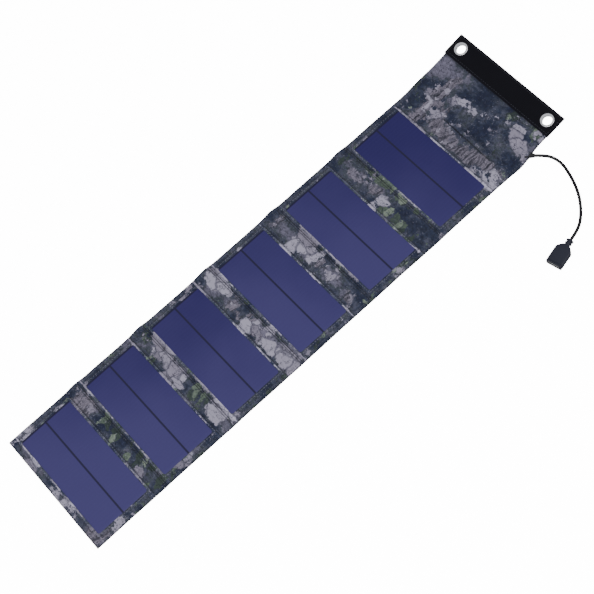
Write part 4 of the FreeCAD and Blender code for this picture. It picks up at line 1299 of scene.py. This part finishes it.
def cut_hole(band, x):
    low, high = (Vector(lift(x, POCKET_START + EYELET_RUN, z)) for z in (-6, 8))
    axis = (high - low).normalized()
    side = Vector((1, 0, 0))
    profile = [(0, EYELET_HOLE), ((high - low).length, EYELET_HOLE)]
    cutter = revolve("cutter", profile, WEBBING, (low, axis, side, axis.cross(side)), 48)
    modifier = band.modifiers.new("hole", "BOOLEAN")
    modifier.operation, modifier.solver, modifier.object = "DIFFERENCE", "EXACT", cutter
    cut = bpy.data.meshes.new_from_object(band.evaluated_get(bpy.context.evaluated_depsgraph_get()))
    band.modifiers.clear()
    band.data = cut
    bpy.data.objects.remove(cutter)


make_pocket()
band = make_band()
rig.replaces(band, "end_band")
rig.slot(band, "band_webbing")
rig.ride(band, "pocket")
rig.sheet(band, flat=flat_size(0, BAND_FLAT), held="folded", rests_on=["pocket_fabric"])

# ---- stitching
# one thread: place along it, thickness and rise, as shares of its length and radius
STITCH = [
    (-0.5, 0.30, -0.75), (-0.36, 0.75, -0.1), (-0.15, 1.0, 0.32),
    (0.15, 1.0, 0.32), (0.36, 0.75, -0.1), (0.5, 0.30, -0.75),
]
STITCH_SIDES = 6
STITCH_PITCH, STITCH_LENGTH = 3.3, 2.5
STITCH_RADIUS, SEAM_RADIUS = 0.2, 0.17
HEM_LINE = 75.4  # the hems' stitching, from the strip's middle
HEM_STEP = 12.0
SEAM_END = 74.0
SEAM_DROPS = (0.15, 2.2)  # the fold's two seams, back from its end
BAND_ROW_END, BAND_SIDE_ROW = 77.0, 76.4
BAND_ROW_SINK = 0.05


def sew(name, material, slot, paths, height, where=None, radius=STITCH_RADIUS):
    """Many short threads in one mesh: each lies on the cloth along a flat path and dips in at both ends."""
    points, place, faces = [], [], []

    def spot(x, y, above=0.0):
        z = height(x, y) + above
        return Vector(where(x, y, z) if where else (x, y, z))

    for (ax, ay), (bx, by) in (leg for path in paths for leg in zip(path, path[1:])):
        total = math.hypot(bx - ax, by - ay)
        count = max(1, round(total / STITCH_PITCH))
        dx, dy = (bx - ax) / total * STITCH_LENGTH / 2, (by - ay) / total * STITCH_LENGTH / 2
        for middle in range(count):
            share = (middle + 0.5) / count
            x, y = ax + (bx - ax) * share, ay + (by - ay) * share
            at = spot(x, y)
            along = (spot(x + dx, y + dy) - spot(x - dx, y - dy)).normalized()
            up = (spot(x, y, 1) - at).normalized()
            across = along.cross(up).normalized()
            faces += tube_faces(len(STITCH), STITCH_SIDES, len(points))
            for reach, size, rise in STITCH:
                step = reach * STITCH_LENGTH
                centre = at + along * step + up * (rise * radius)
                for n in range(STITCH_SIDES):
                    turn = math.pi * n / (STITCH_SIDES / 2)
                    points.append(
                        tuple(centre + (across * math.cos(turn) + up * math.sin(turn) * 0.8) * radius * size))
                    place.append((x + along.x * step, y + along.y * step, n * 0.1))
    made = finish_mesh(name, points, faces, material, place, sharp=60)
    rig.slot(made, slot)
    return made


def straight(y, reach):
    """A path across the strip."""
    return [(-reach, y), (reach, y)]


def window_path(k):
    x, y, c = WINDOW_X + WINDOW_STITCH, WINDOW_Y + WINDOW_STITCH, PANEL_Y[k]
    return [(-x, c - y), (x, c - y), (x, c + y), (-x, c + y), (-x, c - y)]


def hem_paths(low, high):
    """Paths along both long sides, a fixed way in from the strip's edge."""
    count = max(1, round((high - low) / HEM_STEP))
    ys = [low + (high - low) * n / count for n in range(count + 1)]
    return [[(side * (HEM_LINE + edge(y, side) - HALF_WIDTH), y) for y in ys] for side, _ in SIDES]


def stitch_section(k):
    hems = hem_paths(*section_ends(k))
    if k == 1:
        hems.append(straight(STRIP_END + 3.2, HEM_LINE))
    seam = [straight(PANEL_Y[k] + WINDOW_Y + BOARD_SEAM, SEAM_END)]
    for piece in (
        sew(f"panel_stitching_{k}", THREAD, "camo_fabric", [window_path(k)], cloth_top),
        sew(f"hem_stitching_{k}", HEM_THREAD, "camo_fabric", hems, cloth_top),
        sew(f"board_seam_{k}", DARK_THREAD, "camo_fabric", seam, cloth_top, radius=SEAM_RADIUS),
    ):
        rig.ride(piece, f"section_{k}")


def stitch_fold(k):
    low, high, top, where, hinge = fold_span(k)
    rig.blend(sew(f"fold_stitching_{k}", HEM_THREAD, "camo_fabric", hem_paths(low, high), top, where), *hinge)
    if k < LAST:
        rows = [straight(high - drop, SEAM_END) for drop in SEAM_DROPS]
        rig.blend(sew(f"fold_seam_{k}", DARK_THREAD, "camo_fabric", rows, top, where, SEAM_RADIUS), *hinge)


def stitch_pocket():
    hems = hem_paths(POCKET_SEAM, POCKET_START + BAND_FRONT - 1)
    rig.ride(sew("pocket_stitching", HEM_THREAD, "camo_fabric", hems, pocket_top, lift), "pocket")
    rows = [straight(POCKET_START + run, BAND_ROW_END) for run in (BAND_FRONT + 2.6, BAND_BACK - 2.5)]
    ends = POCKET_START + BAND_FRONT + 3, POCKET_START + BAND_BACK - 3
    rows += [[(side * BAND_SIDE_ROW, y) for y in ends] for side, _ in SIDES]
    on_band = sew("band_stitching", DARK_THREAD, "band_webbing", rows, lambda x, y: BAND_TOP - BAND_ROW_SINK, lift)
    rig.ride(on_band, "pocket")


for k in SECTIONS:
    stitch_section(k)
for k in SECTIONS:
    stitch_fold(k)
stitch_pocket()

# ---- floor, lights, world
FLOOR_GLOW = 14.0
FLOOR_HALF, FLOOR_Z = 30000, -0.3
WORLD_COLOUR, WORLD_LIGHT = (0.93, 0.95, 1.0, 1), 0.55
LIGHT_SIZE = 1.0
KEY_PLACE, KEY_POWER = (0.55, -0.85, 1.65), 25
FILL_PLACE, FILL_POWER = (0.9, 0.9, 1.4), 14


def make_stage():
    s = Shader("floor_paper", roughness=0.9, specular=0.2)
    s.colour(s.mix(s.noise(s.object_place(), 3, 3.0), srgb(250, 250, 250), srgb(252, 252, 252)))
    s.sockets["Emission Color"].default_value = (1, 1, 1, 1)
    s.sockets["Emission Strength"].default_value = FLOOR_GLOW
    corners = [(x * FLOOR_HALF, y * FLOOR_HALF, FLOOR_Z) for x, y in ((-1, -1), (1, -1), (1, 1), (-1, 1))]
    floor = finish_mesh("floor", corners, [[0, 1, 2, 3]], s.material)
    floor.visible_diffuse = floor.visible_glossy = False  # it only shows, and the world lights the undersides
    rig.stage(floor)
    world = bpy.data.worlds.new("studio")
    world.use_nodes = True
    sockets = world.node_tree.nodes["Background"].inputs
    sockets[0].default_value, sockets[1].default_value = WORLD_COLOUR, WORLD_LIGHT
    bpy.context.scene.world = world


def area_light(name, place, power):
    """A square light that faces the strip's middle."""
    data = bpy.data.lights.new(name, "AREA")
    data.shape, data.size, data.energy = "SQUARE", LIGHT_SIZE, power
    made = bpy.data.objects.new(name, data)
    made.location = place
    made.rotation_euler = Vector(place).to_track_quat("Z", "Y").to_euler()
    bpy.context.scene.collection.objects.link(made)


make_stage()
area_light("key", KEY_PLACE, KEY_POWER)
area_light("fill", FILL_PLACE, FILL_POWER)

low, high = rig.bounds()
json.dump({"cad": [list(cad_low), list(cad_high)], "visual": [list(low), list(high)]}, open("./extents.json", "w"))
